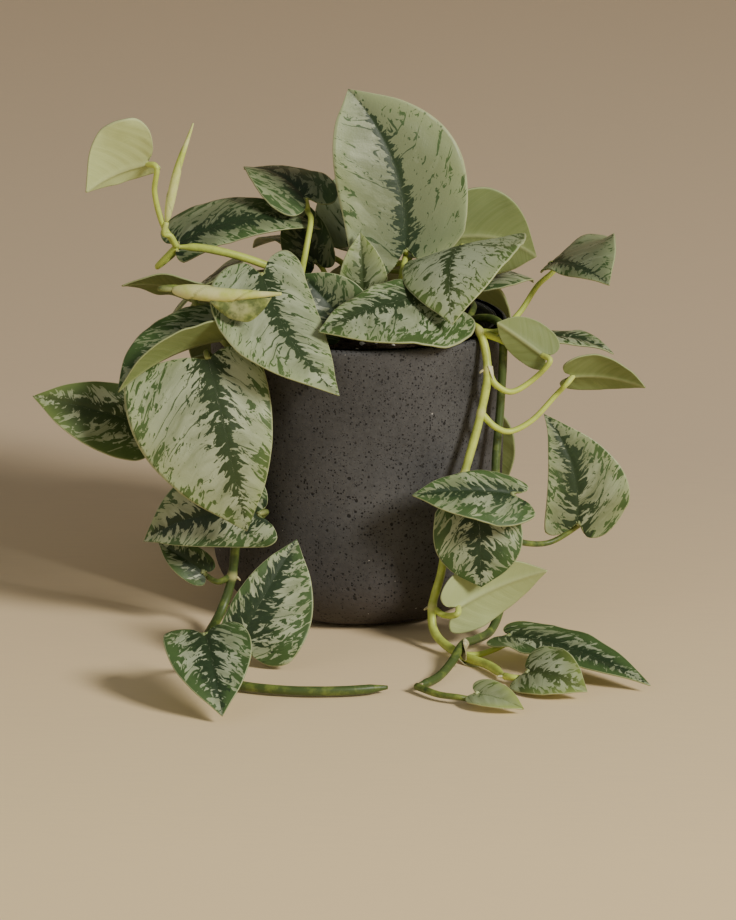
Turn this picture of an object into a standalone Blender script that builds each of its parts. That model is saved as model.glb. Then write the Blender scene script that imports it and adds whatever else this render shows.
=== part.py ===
"""Satin pothos in its pot: a trailing house plant with heart-shaped, silver-splashed leaves.

The numbers are millimetres, and MM turns them into metres. The origin is the centre of the pot's
flat base, +Z is up and -Y is the front. Every stem stands in a plain hole in the soil, climbs over
the rim or stands up, and the long ones run on along the surface that the pot stands on.
"""

import math
from collections import namedtuple

import bmesh
import bpy
from mathutils import Vector, noise

MM = 0.001
GAP = 0.3

POT_HEIGHT = 148.0
POT_TOP_RADIUS = 75.0
POT_LOW_RADIUS = 72.8
POT_WALL = 8.0
POT_FLOOR = 10.0
POT_EDGE_ROUNDING = 29.0
POT_INNER_ROUNDING = 20.0
POT_RIM_ROUNDING = 2.5
POT_WALL_POINTS = (110.0, 70.0)
POT_STEPS = 40

SOIL_DEPTH_BELOW_RIM = 14.0
SOIL_RINGS = 6
SOIL_STEPS = 32
SOIL_LUMP_HEIGHT = 3.0
SOIL_LUMP_SPACING = 14.0
SOIL_EDGE_FADE = 8.0

HOLE_PLAY = 0.5
HOLE_SIDES = 16
HOLE_ABOVE_SOIL = 12.0

BLADE_THICKNESS = 0.8
BLADE_GRID = (8, 3)
SMALL_BLADE_GRID = (5, 2)
SMALL_BLADE = 40.0
VEIN_SLANT = 1.8
RIPPLES = 2.2
RIPPLE_SHIFT = 0.3
STALK_GAP = 1.45
ROLL_GAP = 0.6
STALK_FOOT = 0.85
STALK_TOP = 1.35
KNEE_BEHIND = 3.0
KNEE_BELOW = 6.0

POINT_SPACING = 13.0
RING_LENGTH = 2.2
RING_SWELL = 1.2
STEM_END = 0.8
STRAIGHT_FOOT = 0.6
STEM_SIDES = 2
STALK_SIDES = 1

ROLL_STEPS = 8
ROLL_END = 0.25
ROLL_FULLEST = 0.7

# Half of a flat blade, from the notch at the stalk round the lobe to the tip: how far out, in half
# widths, and how far along, in lengths.
HEART = (
    (0.05, 0.00),
    (0.25, -0.13),
    (0.64, -0.15),
    (0.93, -0.01),
    (1.00, 0.23),
    (0.88, 0.49),
    (0.58, 0.73),
    (0.22, 0.90),
    (0.00, 1.00),
)

Stem = namedtuple("Stem", "name route radius")

# The route's first point is the foot in the soil, and leaves grow from its numbered points.
STEMS = (
    Stem("crown_stem", ((12, 8, 112), (12, 8, 136), (14, 6, 146), (18, 4, 154), (21, 6, 163)), 2.5),
    Stem("reaching_stem", (
        (-12, 4, 112), (-12, 4, 136), (-17, 3, 153), (-30, 0, 166), (-54, -4, 177), (-76, -6, 183),
        (-92, -6, 184)), 2.0),
    Stem("left_vine", (
        (-28, -16, 112), (-28, -16, 136), (-36, -24, 149), (-47, -36, 154), (-59, -48, 153),
        (-65, -56, 140), (-64, -58, 110), (-61, -56, 80), (-60, -55, 54), (-62, -56, 27),
        (-67, -62, 11), (-73, -80, 3.8), (-77, -105, 3.4), (-77, -130, 3.4), (-69, -150, 3.4),
        (-52, -163, 3.4), (-28, -169, 3.4), (-4, -168, 3.4), (16, -162, 3.4)), 2.3),
    Stem("right_vine", (
        (38, -8, 112), (38, -8, 136), (44, -18, 147), (53, -34, 152), (60, -45, 151.5),
        (64, -52, 134), (61, -57, 113), (53, -67, 84), (46, -76, 58), (42, -80, 36),
        (38, -83, 20), (40, -90, 8), (52, -108, 3.4), (65, -124, 3.4), (73, -142, 3.4)), 2.2),
    Stem("far_right_vine", (
        (46, 6, 112), (46, 6, 136), (54, -4, 146), (62, -18, 152), (70, -29, 152),
        (72, -37, 142), (71, -40, 112), (69, -48, 81), (71, -53, 52), (73, -60, 20),
        (68, -76, 7), (59, -96, 7.5), (53, -110, 9.4), (47, -127, 5), (40, -146, 3.4),
        (30, -160, 3.4)), 2.2),
    Stem("back_left_vine", (
        (-26, 24, 112), (-26, 24, 136), (-33, 34, 148), (-43, 49, 153), (-51, 59, 152.5),
        (-56, 65, 138), (-55, 66, 100), (-53, 68, 62), (-55, 70, 30), (-61, 75, 10),
        (-74, 86, 3.6), (-92, 94, 3.4)), 2.3),
    Stem("back_right_vine", (
        (24, 30, 112), (24, 30, 136), (27, 42, 148), (31, 59, 153), (34, 70, 152),
        (35, 78, 137), (33, 80, 100), (36, 82, 64), (45, 82, 34), (52, 78, 14)), 2.2),
    Stem("back_stem", ((2, 40, 112), (2, 40, 136), (3, 44, 148), (5, 48, 160)), 2.2),
)

Leaf = namedtuple(
    "Leaf",
    "name stem joint stalk base tip face width fold cup arch sweep wave lobe late twist",
    defaults=(6, -0.08, 0.08, 0.0, 0.04, (1.0, 1.0), 1.0, 0),
)

# A leaf grows from a numbered point of its stem: its stalk's bends, the notch where the stalk meets
# the blade, the tip, the way its upper side faces, and its half widths left and right of the midrib,
# seen from above with the tip ahead. Fold lifts both halves, in degrees; cup, arch, sweep and wave
# are shares of the blade's own size; lobe is how long the two lobes are, late below 1 puts the
# widest part nearer the tip, and twist turns the tip against the base, in degrees.
LEAVES = (
    Leaf("crown_leaf_1", "crown_stem", 4, ((22, 7, 172),), (23, 8, 181), (-7, 22, 260),
         (0.2, -1, 0.1), (33, 34), 8, -0.05, 0.05, 0.1, late=0.65, lobe=(0.7, 0.7)),
    Leaf("crown_leaf_2", "crown_stem", 2, ((4, 16, 149), (-12, 28, 154)), (-23, 36, 168),
         (-33, 48, 199), (-0.4, -0.9, 0.2), (15, 13)),
    Leaf("crown_leaf_3", "crown_stem", 4, ((28, 12, 168),), (38, 21, 182), (90, 34, 172),
         (0.15, 1, 0.1), (24, 26), 2, -0.05, 0.03, 0.12, late=0.7),
    Leaf("crown_leaf_4", "crown_stem", 3, ((36, 6, 163),), (51, 0, 185), (46, -66, 160),
         (-0.35, -0.35, 0.85), (36, 27), -2, -0.06, 0.17, lobe=(0.7, 0.3), late=0.85),
    Leaf("crown_leaf_5", "crown_stem", 2, ((20, -6, 152), (27, -22, 158)), (33, -33, 167),
         (-20, -72, 157), (-0.05, -0.5, 0.87), (40, 14), 2, -0.03, 0.06, 0.0, 0.08, late=0.9),
    Leaf("crown_leaf_6", "crown_stem", 2, ((8, 0, 152),), (2, -6, 157), (0, -3, 192),
         (0.1, -1, 0.2), (13, 13), 12),
    Leaf("crown_leaf_7", "crown_stem", 1, ((4, -6, 142),), (-8, -18, 150), (-30, -16, 173),
         (-0.1, -0.8, 0.5), (17, 17), 8, 0.1, 0.1),
    Leaf("reaching_leaf_1", "reaching_stem", 3, ((-27, 4, 182), (-25, 14, 194)), (-28, 25, 203),
         (-60, 56, 211), (0, 0.02, 1), (22, 22), 8, -0.14, 0.12, twist=-20),
    Leaf("reaching_leaf_2", "reaching_stem", 6, ((-102, 1, 172),), (-92, 13, 181), (-20, 20, 188),
         (-0.05, -0.4, 0.9), (26, 14), 0, -0.15, 0.15, lobe=(0.6, 0.2), late=0.9, twist=15),
    Leaf("reaching_leaf_3", "reaching_stem", 6, ((-99, -7, 196), (-103, -7, 212)), (-107, -5, 226),
         (-137, -14, 213), (-0.3, 0.8, 0.4), (30, 8), 6, 0.05, 0.1),
    Leaf("left_leaf_1", "left_vine", 2, ((-42, -30, 162),), (-48, -40, 178), (-9, -92, 130),
         (0.2, -0.56, 0.76), (23, 32), 2, -0.06, 0.03, 0.1, lobe=(0.9, 0.9)),
    Leaf("left_leaf_2", "left_vine", 3, ((-66, -30, 160),), (-83, -27, 165), (-118, -38, 171),
         (0.1, 0.5, 0.85), (17, 17)),
    Leaf("left_leaf_3", "left_vine", 4, ((-63, -52, 153),), (-68, -57, 149), (-118, -75, 126),
         (-0.35, 0.05, 0.95), (20, 27), 40, -0.05, 0.08, lobe=(0.6, 0.6)),
    Leaf("left_leaf_4", "left_vine", 5, ((-70, -61, 139),), (-74, -70, 142), (-54, -83, 58),
         (0, -0.95, 0.3), (26, 45), -4, -0.05, 0.12, lobe=(0.3, 0.3)),
    Leaf("left_leaf_5", "left_vine", 6, ((-80, -53, 103), (-97, -42, 100)), (-107, -44, 102),
         (-162, -46, 116), (-0.1, -0.85, 0.5), (21, 16), 6, lobe=(0.8, 0.8)),
    Leaf("left_leaf_6", "left_vine", 8, ((-53, -62, 56),), (-49, -69, 63), (-106, -62, 46),
         (0, -0.95, 0.3), (18, 24), 4, -0.05, 0.05, 0.1, lobe=(0.7, 0.7)),
    Leaf("left_leaf_7", "left_vine", 9, ((-69, -57, 24),), (-77, -55, 29), (-99, -50, 42),
         (0.1, -0.9, 0.4), (9, 9), 8),
    Leaf("left_leaf_8", "left_vine", 12, ((-66, -110, 6),), (-55, -121, 15),
         (-29, -103, 60), (-0.05, -0.9, 0.35), (13, 28), 4, -0.05, 0.05, lobe=(0.7, 0.7)),
    Leaf("left_leaf_9", "left_vine", 13, ((-79, -146, 14), (-77, -158, 24)), (-72, -166, 30),
         (-62, -212, 4), (0, -0.6, 0.8), (21, 21), 8, -0.05, 0.1, lobe=(0.8, 0.8)),
    Leaf("right_leaf_1", "right_vine", 4, ((70, -40, 151), (80, -26, 157), (89, -14, 168)),
         (96, -10, 179), (123, -58, 179), (-0.46, -0.2, 0.86), (30, 8), 2, -0.1, 0.1, 0.0, 0.14,
         lobe=(0.5, 0.5)),
    Leaf("right_leaf_2", "right_vine", 5, ((68, -54, 127), (76, -53, 123), (86, -50, 128)),
         (91, -48, 141), (68, -56, 159), (-0.5, 0.7, 0.3), (13, 10), 20),
    Leaf("right_leaf_3", "right_vine", 4, ((72, -46, 147), (82, -37, 139)), (88, -29, 145),
         (127, -37, 139), (0.05, -0.05, 1), (13, 13), 8, -0.08, 0.1, 0.0, 0.12),
    Leaf("right_leaf_4", "right_vine", 6, ((68, -57, 106), (76, -54, 103), (87, -50, 108),
         (98, -45, 119)), (107, -43, 129), (143, -45, 124), (0.1, 0.75, 0.6), (11, 16)),
    Leaf("right_leaf_5", "right_vine", 7, ((62, -76, 77), (71, -82, 75)), (76, -87, 80),
         (27, -99, 82), (0, -0.6, 0.8), (20, 13), 4, -0.1, 0.06, lobe=(1.3, 1.3)),
    Leaf("right_leaf_6", "right_vine", 8, ((52, -82, 66),), (59, -88, 71), (62, -90, 33),
         (0, -1, 0.05), (22, 22), -2, -0.05, 0.08, late=0.7),
    Leaf("right_leaf_7", "right_vine", 10, ((44, -86, 17),), (51, -88, 22), (95, -77, 38),
         (0.1, 0.95, 0.3), (17, 17)),
    Leaf("right_leaf_8", "right_vine", 12, ((62, -107, 3.6),), (76, -106, 13),
         (143, -156, 4), (-0.1, -0.25, 0.95), (15, 14), 4, -0.05, 0.06, lobe=(0.6, 0.6)),
    Leaf("right_leaf_9", "right_vine", 14, ((77, -146, 4),), (84, -149, 8), (112, -170, 5),
         (0, -0.7, 0.7), (16, 14), 6, 0.0, 0.12),
    Leaf("far_right_leaf_1", "far_right_vine", 8, ((82, -47, 44), (97, -37, 41)),
         (111, -38, 52), (93, -34, 107), (0.1, -1, 0.1), (18, 27), 4, -0.05, 0.06, 0.1,
         lobe=(0.3, 1.2), late=1.5),
    Leaf("far_right_leaf_2", "far_right_vine", 15, ((40, -172, 3.4), (50, -178, 4)),
         (59, -181, 7), (81, -192, 3), (0, -0.6, 0.8), (8, 8), 14),
    Leaf("back_left_leaf_1", "back_left_vine", 4, ((-60, 70, 153),), (-62, 77, 149), (-78, 96, 82),
         (-0.5, 0.8, 0.3), (24, 30), -2, -0.08, 0.1, lobe=(0.6, 0.6)),
    Leaf("back_left_leaf_2", "back_left_vine", 3, ((-56, 44, 160),), (-64, 40, 164), (-100, 36, 130),
         (-0.5, 0.1, 0.85), (20, 20)),
    Leaf("back_left_leaf_3", "back_left_vine", 6, ((-68, 66, 98),), (-78, 64, 99), (-112, 52, 62),
         (-0.7, 0.7, 0.3), (23, 23)),
    Leaf("back_left_leaf_4", "back_left_vine", 7, ((-46, 76, 60),), (-38, 80, 64), (-18, 96, 18),
         (0.2, 0.95, 0.3), (23, 23)),
    Leaf("back_left_leaf_5", "back_left_vine", 10, ((-76, 94, 7),), (-82, 100, 10),
         (-92, 130, 3), (0, -0.3, 0.95), (17, 17), 8),
    Leaf("back_right_leaf_1", "back_right_vine", 4, ((41, 78, 152),), (48, 86, 146), (62, 106, 82),
         (0.4, 0.9, 0.3), (29, 29), -2, -0.08, 0.1, lobe=(0.6, 0.6)),
    Leaf("back_right_leaf_2", "back_right_vine", 3, ((22, 68, 155),), (13, 80, 156),
         (-8, 114, 112), (-0.1, 0.75, 0.7), (24, 18), 0, -0.1, 0.12, lobe=(0.8, 0.8)),
    Leaf("back_right_leaf_3", "back_right_vine", 6, ((22, 88, 104),), (13, 92, 106), (-2, 102, 48),
         (-0.2, 1, 0.1), (24, 24)),
    Leaf("back_right_leaf_4", "back_right_vine", 7, ((48, 88, 68),), (58, 90, 70), (68, 96, 20),
         (0.3, 0.9, 0.2), (22, 22)),
    Leaf("back_right_leaf_5", "back_right_vine", 9, ((48, 90, 8),), (42, 98, 9), (14, 118, 4),
         (0, 0.3, 0.95), (17, 17), 8),
    Leaf("back_leaf_1", "back_stem", 3, ((4, 52, 170),), (2, 56, 177), (8, 88, 208),
         (0, -0.7, 0.75), (27, 27), 4, -0.1, 0.12),
    Leaf("back_leaf_2", "back_stem", 2, ((16, 50, 162),), (27, 54, 170), (67, 72, 163),
         (0.2, 0.3, 0.9), (25, 25), 2, -0.1, 0.12),
    Leaf("back_leaf_3", "back_stem", 2, ((-8, 52, 162),), (-18, 61, 171), (-56, 86, 163),
         (-0.2, 0.3, 0.9), (25, 25), 2, -0.1, 0.12),
    Leaf("back_leaf_4", "far_right_vine", 2, ((58, 12, 150), (57, 32, 149)), (58, 45, 157),
         (90, 70, 150), (0.3, 0.2, 0.9), (19, 19), 2, -0.1, 0.12),
)

# Leaves still rolled up: the foot, the way it runs, its tip, and how thick it is.
Roll = namedtuple("Roll", "name stem joint stalk run radius")

ROLLED_LEAVES = (
    Roll("reaching_new_leaf", "reaching_stem", 6, ((-95, -8, 190),),
         ((-97, -8, 197), (-92, -5, 222), (-84, 0, 246)), 2.4),
    Roll("left_new_leaf", "left_vine", 3, ((-64, -38, 163), (-88, -46, 172)),
         ((-92, -62, 175), (-66, -71, 175), (-38, -76, 177)), 4.0),
)


def vec(point):
    """A point in millimetres as a vector in metres."""
    return Vector(point) * MM


def clear_scene():
    """Remove every object of the opened file."""
    for obj in list(bpy.data.objects):
        bpy.data.objects.remove(obj, do_unlink=True)


def new_collection(name):
    """A collection linked to the scene."""
    collection = bpy.data.collections.new(name)
    bpy.context.scene.collection.children.link(collection)
    return collection


def material(name, colour, roughness):
    """A plain Principled material."""
    mat = bpy.data.materials.new(name)
    mat.use_nodes = True
    shader = mat.node_tree.nodes["Principled BSDF"]
    shader.inputs["Base Color"].default_value = (*colour, 1.0)
    shader.inputs["Roughness"].default_value = roughness
    shader.inputs["Metallic"].default_value = 0.0
    return mat


def add_object(name, data, collection, mat):
    """Link a mesh or curve as an object with its material."""
    obj = bpy.data.objects.new(name, data)
    data.materials.append(mat)
    collection.objects.link(obj)
    return obj


def along_spline(points, share):
    """The point at a share, 0 to 1, of a smooth curve through the points."""
    last = len(points) - 1
    place = min(max(share, 0.0), 1.0) * last
    i = min(int(place), last - 1)
    u = place - i
    p1, p2 = Vector(points[i]), Vector(points[i + 1])
    p0 = Vector(points[i - 1]) if i > 0 else 2 * p1 - p2
    p3 = Vector(points[i + 2]) if i + 2 <= last else 2 * p2 - p1
    return 0.5 * (2 * p1 + (p2 - p0) * u + (2 * p0 - 5 * p1 + 4 * p2 - p3) * u ** 2
                  + (3 * p1 - p0 - 3 * p2 + p3) * u ** 3)


def tube_mesh(name, points, radii, sides_level):
    """A closed round tube through the points (millimetres), one radius at each."""
    data = bpy.data.curves.new(name, "CURVE")
    data.dimensions = "3D"
    data.bevel_depth = MM
    data.bevel_resolution = sides_level
    data.use_fill_caps = True
    spline = data.splines.new("POLY")
    spline.points.add(len(points) - 1)
    for spot, point, radius in zip(spline.points, points, radii):
        spot.co = (*vec(point), 1.0)
        spot.radius = radius
    curve = bpy.data.objects.new(name, data)
    bpy.context.scene.collection.objects.link(curve)
    evaluated = curve.evaluated_get(bpy.context.evaluated_depsgraph_get())
    mesh = bpy.data.meshes.new_from_object(evaluated)
    bpy.data.objects.remove(curve)
    bpy.data.curves.remove(data)
    bm = bmesh.new()
    bm.from_mesh(mesh)
    bmesh.ops.remove_doubles(bm, verts=bm.verts, dist=1e-6)
    bmesh.ops.recalc_face_normals(bm, faces=bm.faces)
    bm.to_mesh(mesh)
    bm.free()
    return mesh


def stem_route(stem):
    """The stem's route with one more point in the soil, which keeps its foot straight."""
    foot, surface = Vector(stem.route[0]), Vector(stem.route[1])
    return [foot, foot.lerp(surface, STRAIGHT_FOOT)] + [Vector(p) for p in stem.route[1:]]


def stem_points(stem, joints):
    """Points along a stem, closer at its leaf joints, where it swells into a ring."""
    route = stem_route(stem)
    joints = {joint + 1 for joint in joints}
    spans = len(route) - 1
    points = []
    radii = []
    for i in range(spans):
        length = (route[i + 1] - route[i]).length
        steps = max(1, round(length / POINT_SPACING))
        ring = RING_LENGTH / length
        shares = [k / steps for k in range(steps)]
        swells = [1.0] * steps
        if i in joints and i > 0:
            swells[0] = RING_SWELL
            shares.insert(1, ring)
            swells.insert(1, 1.0)
        if i + 1 in joints:
            shares.append(1.0 - ring)
            swells.append(1.0)
        for share, swell in zip(shares, swells):
            points.append(along_spline(route, (i + share) / spans))
            radii.append(stem.radius * swell)
    points.append(route[-1])
    radii.append(stem.radius * (RING_SWELL if spans in joints else STEM_END))
    return points, radii


def stalk_points(start, bends, end, foot, top):
    """Points and radii of a leaf stalk: a sheath at its foot, slim above, a slight knee at the blade."""
    route = [Vector(start)] + [Vector(p) for p in bends] + [Vector(end)]
    length = sum((b - a).length for a, b in zip(route, route[1:]))
    steps = max(3, round(length / POINT_SPACING) + 1)
    points = []
    radii = []
    for k in range(steps + 1):
        share = k / steps
        points.append(along_spline(route, share))
        radii.append(top + (foot - top) * (1.0 - share) ** 2)
    return points, radii


def leaf_axes(leaf):
    """The blade's length and its own axes: right, ahead and up."""
    base, tip = Vector(leaf.base), Vector(leaf.tip)
    ahead = (tip - base).normalized()
    face = Vector(leaf.face)
    up = (face - face.dot(ahead) * ahead).normalized()
    return (tip - base).length, ahead.cross(up), ahead, up


def blade_point(leaf, across, along):
    """A point of the blade's middle surface, in millimetres.

    across runs from -1 at the left margin to 1 at the right one, and along from 0 at the lobes to
    1 at the tip, both following the side veins.
    """
    length, right, ahead, up = leaf_axes(leaf)
    half = leaf.width[0] if across < 0 else leaf.width[1]
    side = -1.0 if across < 0 else 1.0
    out, up_to = along_spline([(x, y, 0.0) for x, y in HEART], along)[:2]
    up_to = up_to ** leaf.late if up_to > 0 else up_to * leaf.lobe[0 if across < 0 else 1]
    midrib = along ** VEIN_SLANT
    share = abs(across)
    d = max(0.0, out) * share
    v = midrib + (up_to - midrib) * share
    lift = math.radians(leaf.fold)
    ripple = leaf.wave * math.sin(2.0 * math.pi * (RIPPLES * along + RIPPLE_SHIFT * side))
    turn = math.radians(leaf.twist) * (v - 0.5) * side
    height = half * (d * math.sin(lift + turn) + (leaf.cup + ripple) * d * d)
    sideways = side * half * d * math.cos(lift + turn) + 4.0 * leaf.sweep * length * v * (1.0 - v)
    rise = 4.0 * leaf.arch * length * v * (1.0 - v)
    slope = math.atan(4.0 * leaf.arch * (1.0 - 2.0 * v))
    ahead_part = v * length - height * math.sin(slope)
    up_part = rise + height * math.cos(slope)
    return Vector(leaf.base) + right * sideways + ahead * ahead_part + up * up_part


def make_blade(leaf, collection, mat):
    """A leaf blade: a grid shaped to a heart, folded, arched and waved, then given its thickness."""
    rows, columns = SMALL_BLADE_GRID if leaf_axes(leaf)[0] < SMALL_BLADE else BLADE_GRID
    bm = bmesh.new()
    bmesh.ops.create_grid(bm, x_segments=2 * columns, y_segments=rows, size=1.0)
    tip_row = [v for v in bm.verts if v.co.y > 0.999]
    notch_row = [v for v in bm.verts if v.co.y < -0.999]
    for vert in bm.verts:
        vert.co = blade_point(leaf, vert.co.x, 0.5 * (vert.co.y + 1.0)) * MM
    bmesh.ops.pointmerge(bm, verts=tip_row, merge_co=vec(leaf.tip))
    bmesh.ops.pointmerge(bm, verts=notch_row, merge_co=vec(leaf.base))
    bmesh.ops.triangulate(bm, faces=bm.faces)
    mesh = bpy.data.meshes.new(leaf.name)
    bm.to_mesh(mesh)
    bm.free()
    obj = add_object(leaf.name, mesh, collection, mat)
    solid = obj.modifiers.new("thickness", "SOLIDIFY")
    solid.thickness = BLADE_THICKNESS * MM
    solid.offset = 0.0
    obj.data.shade_smooth()
    return obj


def make_rolled_leaf(roll, collection, mat):
    """A new leaf still rolled into a spindle."""
    points = []
    radii = []
    for k in range(ROLL_STEPS + 1):
        share = k / ROLL_STEPS
        swell = math.sin(math.pi * share ** ROLL_FULLEST)
        points.append(along_spline(roll.run, share))
        radii.append(roll.radius * (ROLL_END + (1.0 - ROLL_END) * swell))
    return add_object(roll.name, tube_mesh(roll.name, points, radii, STEM_SIDES), collection, mat)


def short_of(target, before, gap):
    """The point just short of the target, coming from the one before it."""
    target = Vector(target)
    return target - (target - Vector(before)).normalized() * gap


def knee(leaf):
    """Where a stalk bends up to the blade: behind its notch and below it."""
    ahead, up = leaf_axes(leaf)[2:]
    return Vector(leaf.base) - ahead * KNEE_BEHIND - up * KNEE_BELOW


def make_stem(stem, collection, mat):
    """A stem with its rings and all its leaf stalks joined into one body."""
    leaves = [leaf for leaf in LEAVES if leaf.stem == stem.name]
    rolls = [roll for roll in ROLLED_LEAVES if roll.stem == stem.name]
    joints = {grown.joint for grown in leaves + rolls}
    points, radii = stem_points(stem, joints)
    body = add_object(stem.name, tube_mesh(stem.name, points, radii, STEM_SIDES), collection, mat)
    stalks = new_collection(stem.name + "_stalks")
    for grown in leaves + rolls:
        bends = list(grown.stalk)
        if isinstance(grown, Leaf):
            target, gap = grown.base, STALK_GAP
            bends.append(knee(grown))
        else:
            target, gap = Vector(grown.run[0]), ROLL_GAP
            bends.append(short_of(target, 2 * target - Vector(grown.run[1]), KNEE_BELOW))
        end = short_of(target, bends[-1], gap)
        stalk, sizes = stalk_points(
            stem.route[grown.joint], bends, end, STALK_FOOT * stem.radius, STALK_TOP)
        add_object(
            grown.name + "_stalk", tube_mesh(grown.name, stalk, sizes, STALK_SIDES), stalks, mat)
    join = body.modifiers.new("stalks", "BOOLEAN")
    join.operation = "UNION"
    join.operand_type = "COLLECTION"
    join.collection = stalks
    join.solver = "MANIFOLD"
    evaluated = body.evaluated_get(bpy.context.evaluated_depsgraph_get())
    joined = bpy.data.meshes.new_from_object(evaluated)
    body.modifiers.remove(join)
    old = body.data
    body.data = joined
    bpy.data.meshes.remove(old)
    for obj in list(stalks.objects):
        bpy.data.objects.remove(obj)
    bpy.data.collections.remove(stalks)
    body.data.shade_smooth()
    return body


def screw(obj, steps):
    """Turn a profile round the upright axis."""
    turn = obj.modifiers.new("turn", "SCREW")
    turn.axis = "Z"
    turn.steps = steps
    turn.render_steps = steps
    turn.use_merge_vertices = True
    turn.merge_threshold = 1e-5
    turn.use_smooth_shade = True


def profile_mesh(name, profile):
    """An open line of points (radius, height) in millimetres, ready to be turned."""
    bm = bmesh.new()
    verts = [bm.verts.new(vec((radius, 0.0, height))) for radius, height in profile]
    for a, b in zip(verts, verts[1:]):
        bm.edges.new((a, b))
    mesh = bpy.data.meshes.new(name)
    bm.to_mesh(mesh)
    bm.free()
    return mesh


def arc(centre, radius, start, end, steps):
    """Points of an arc in a profile, angles in degrees."""
    turns = [math.radians(start + (end - start) * k / steps) for k in range(steps + 1)]
    return [(centre[0] + radius * math.cos(a), centre[1] + radius * math.sin(a)) for a in turns]


def outer_radius(height):
    """The pot's outer radius at a height above its rounded lower edge."""
    share = (height - POT_EDGE_ROUNDING) / (POT_HEIGHT - POT_EDGE_ROUNDING)
    return POT_LOW_RADIUS + (POT_TOP_RADIUS - POT_LOW_RADIUS) * share


def make_pot(collection, mat):
    """The round pot: a turned wall with a flat rim, slight taper and a wide rounded lower edge."""
    rim = POT_RIM_ROUNDING
    top_inner = POT_TOP_RADIUS - POT_WALL
    low_inner = POT_LOW_RADIUS - POT_WALL
    inner = POT_INNER_ROUNDING
    profile = [(0.0, POT_FLOOR)]
    profile += arc((low_inner - inner, POT_FLOOR + inner), inner, -90, 0, 4)
    profile += arc((top_inner + rim, POT_HEIGHT - rim), rim, 180, 90, 3)
    profile += arc((POT_TOP_RADIUS - rim, POT_HEIGHT - rim), rim, 90, 0, 3)
    profile += [(outer_radius(height), height) for height in POT_WALL_POINTS]
    edge = POT_EDGE_ROUNDING
    profile += arc((POT_LOW_RADIUS - edge, edge), edge, 0, -90, 7)
    profile.append((0.0, 0.0))
    pot = add_object("pot", profile_mesh("pot", profile), collection, mat)
    screw(pot, POT_STEPS)
    return pot


def make_soil(collection, cutters, mat):
    """The soil that fills the pot, with a crumbly top and a plain hole for every stem."""
    surface = POT_HEIGHT - SOIL_DEPTH_BELOW_RIM
    low_inner = POT_LOW_RADIUS - POT_WALL - GAP
    inner = POT_INNER_ROUNDING
    floor = POT_FLOOR + GAP
    taper = (POT_TOP_RADIUS - POT_LOW_RADIUS) * (surface - inner) / (POT_HEIGHT - inner)
    reach = low_inner + taper - GAP
    profile = [(reach * k / SOIL_RINGS, surface) for k in range(SOIL_RINGS + 1)]
    profile += arc((low_inner - inner, floor + inner), inner, 0, -90, 4)
    profile.append((0.0, floor))
    soil = add_object("soil", profile_mesh("soil", profile), collection, mat)
    screw(soil, SOIL_STEPS)
    evaluated = soil.evaluated_get(bpy.context.evaluated_depsgraph_get())
    mesh = bpy.data.meshes.new_from_object(evaluated)
    soil.modifiers.clear()
    for vert in mesh.vertices:
        radius = math.hypot(vert.co.x, vert.co.y) / MM
        if vert.co.z > (surface - 0.1) * MM:
            fade = min(1.0, (reach - radius) / SOIL_EDGE_FADE)
            lumps = noise.noise(vert.co / (SOIL_LUMP_SPACING * MM))
            vert.co.z += fade * SOIL_LUMP_HEIGHT * lumps * MM
    soil.data = mesh
    for stem in STEMS:
        foot = Vector(stem.route[0])
        bottom = foot.z - GAP
        height = surface + HOLE_ABOVE_SOIL - bottom
        bpy.ops.mesh.primitive_cylinder_add(
            vertices=HOLE_SIDES, radius=(stem.radius + HOLE_PLAY) * MM, depth=height * MM,
            location=vec((foot.x, foot.y, bottom + 0.5 * height)))
        cutter = bpy.context.object
        cutter.name = stem.name + "_hole"
        cutter.hide_render = True
        cutter.display_type = "WIRE"
        for old in list(cutter.users_collection):
            old.objects.unlink(cutter)
        cutters.objects.link(cutter)
    holes = soil.modifiers.new("stem holes", "BOOLEAN")
    holes.operation = "DIFFERENCE"
    holes.operand_type = "COLLECTION"
    holes.collection = cutters
    return soil


def main():
    """Build every piece of the plant and its pot."""
    clear_scene()
    plant = new_collection("satin_pothos_in_pot")
    cutters = new_collection("cutters")
    charcoal = material("charcoal stone", (0.045, 0.042, 0.043), 0.85)
    earth = material("potting soil", (0.035, 0.024, 0.016), 0.95)
    silver_leaf = material("silver leaf", (0.30, 0.38, 0.24), 0.45)
    new_leaf = material("new leaf", (0.50, 0.58, 0.26), 0.4)
    stem_green = material("green stem", (0.32, 0.40, 0.10), 0.4)
    make_pot(plant, charcoal)
    make_soil(plant, cutters, earth)
    for stem in STEMS:
        make_stem(stem, plant, stem_green)
    for leaf in LEAVES:
        make_blade(leaf, plant, silver_leaf)
    for roll in ROLLED_LEAVES:
        make_rolled_leaf(roll, plant, new_leaf)


if __name__ == "__main__":
    main()
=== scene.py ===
"""Looks of a satin pothos in its pot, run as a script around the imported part.

Points, sizes and constants are millimetres in the part's own frame unless a comment says otherwise,
and MM turns them into metres. Every blade, stem and rolled leaf repeats the form of the solid that
it stands for.
"""

import math
import random
from collections import namedtuple
from functools import partial

import bmesh
import bpy
from mathutils import Matrix, Vector, noise


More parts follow.
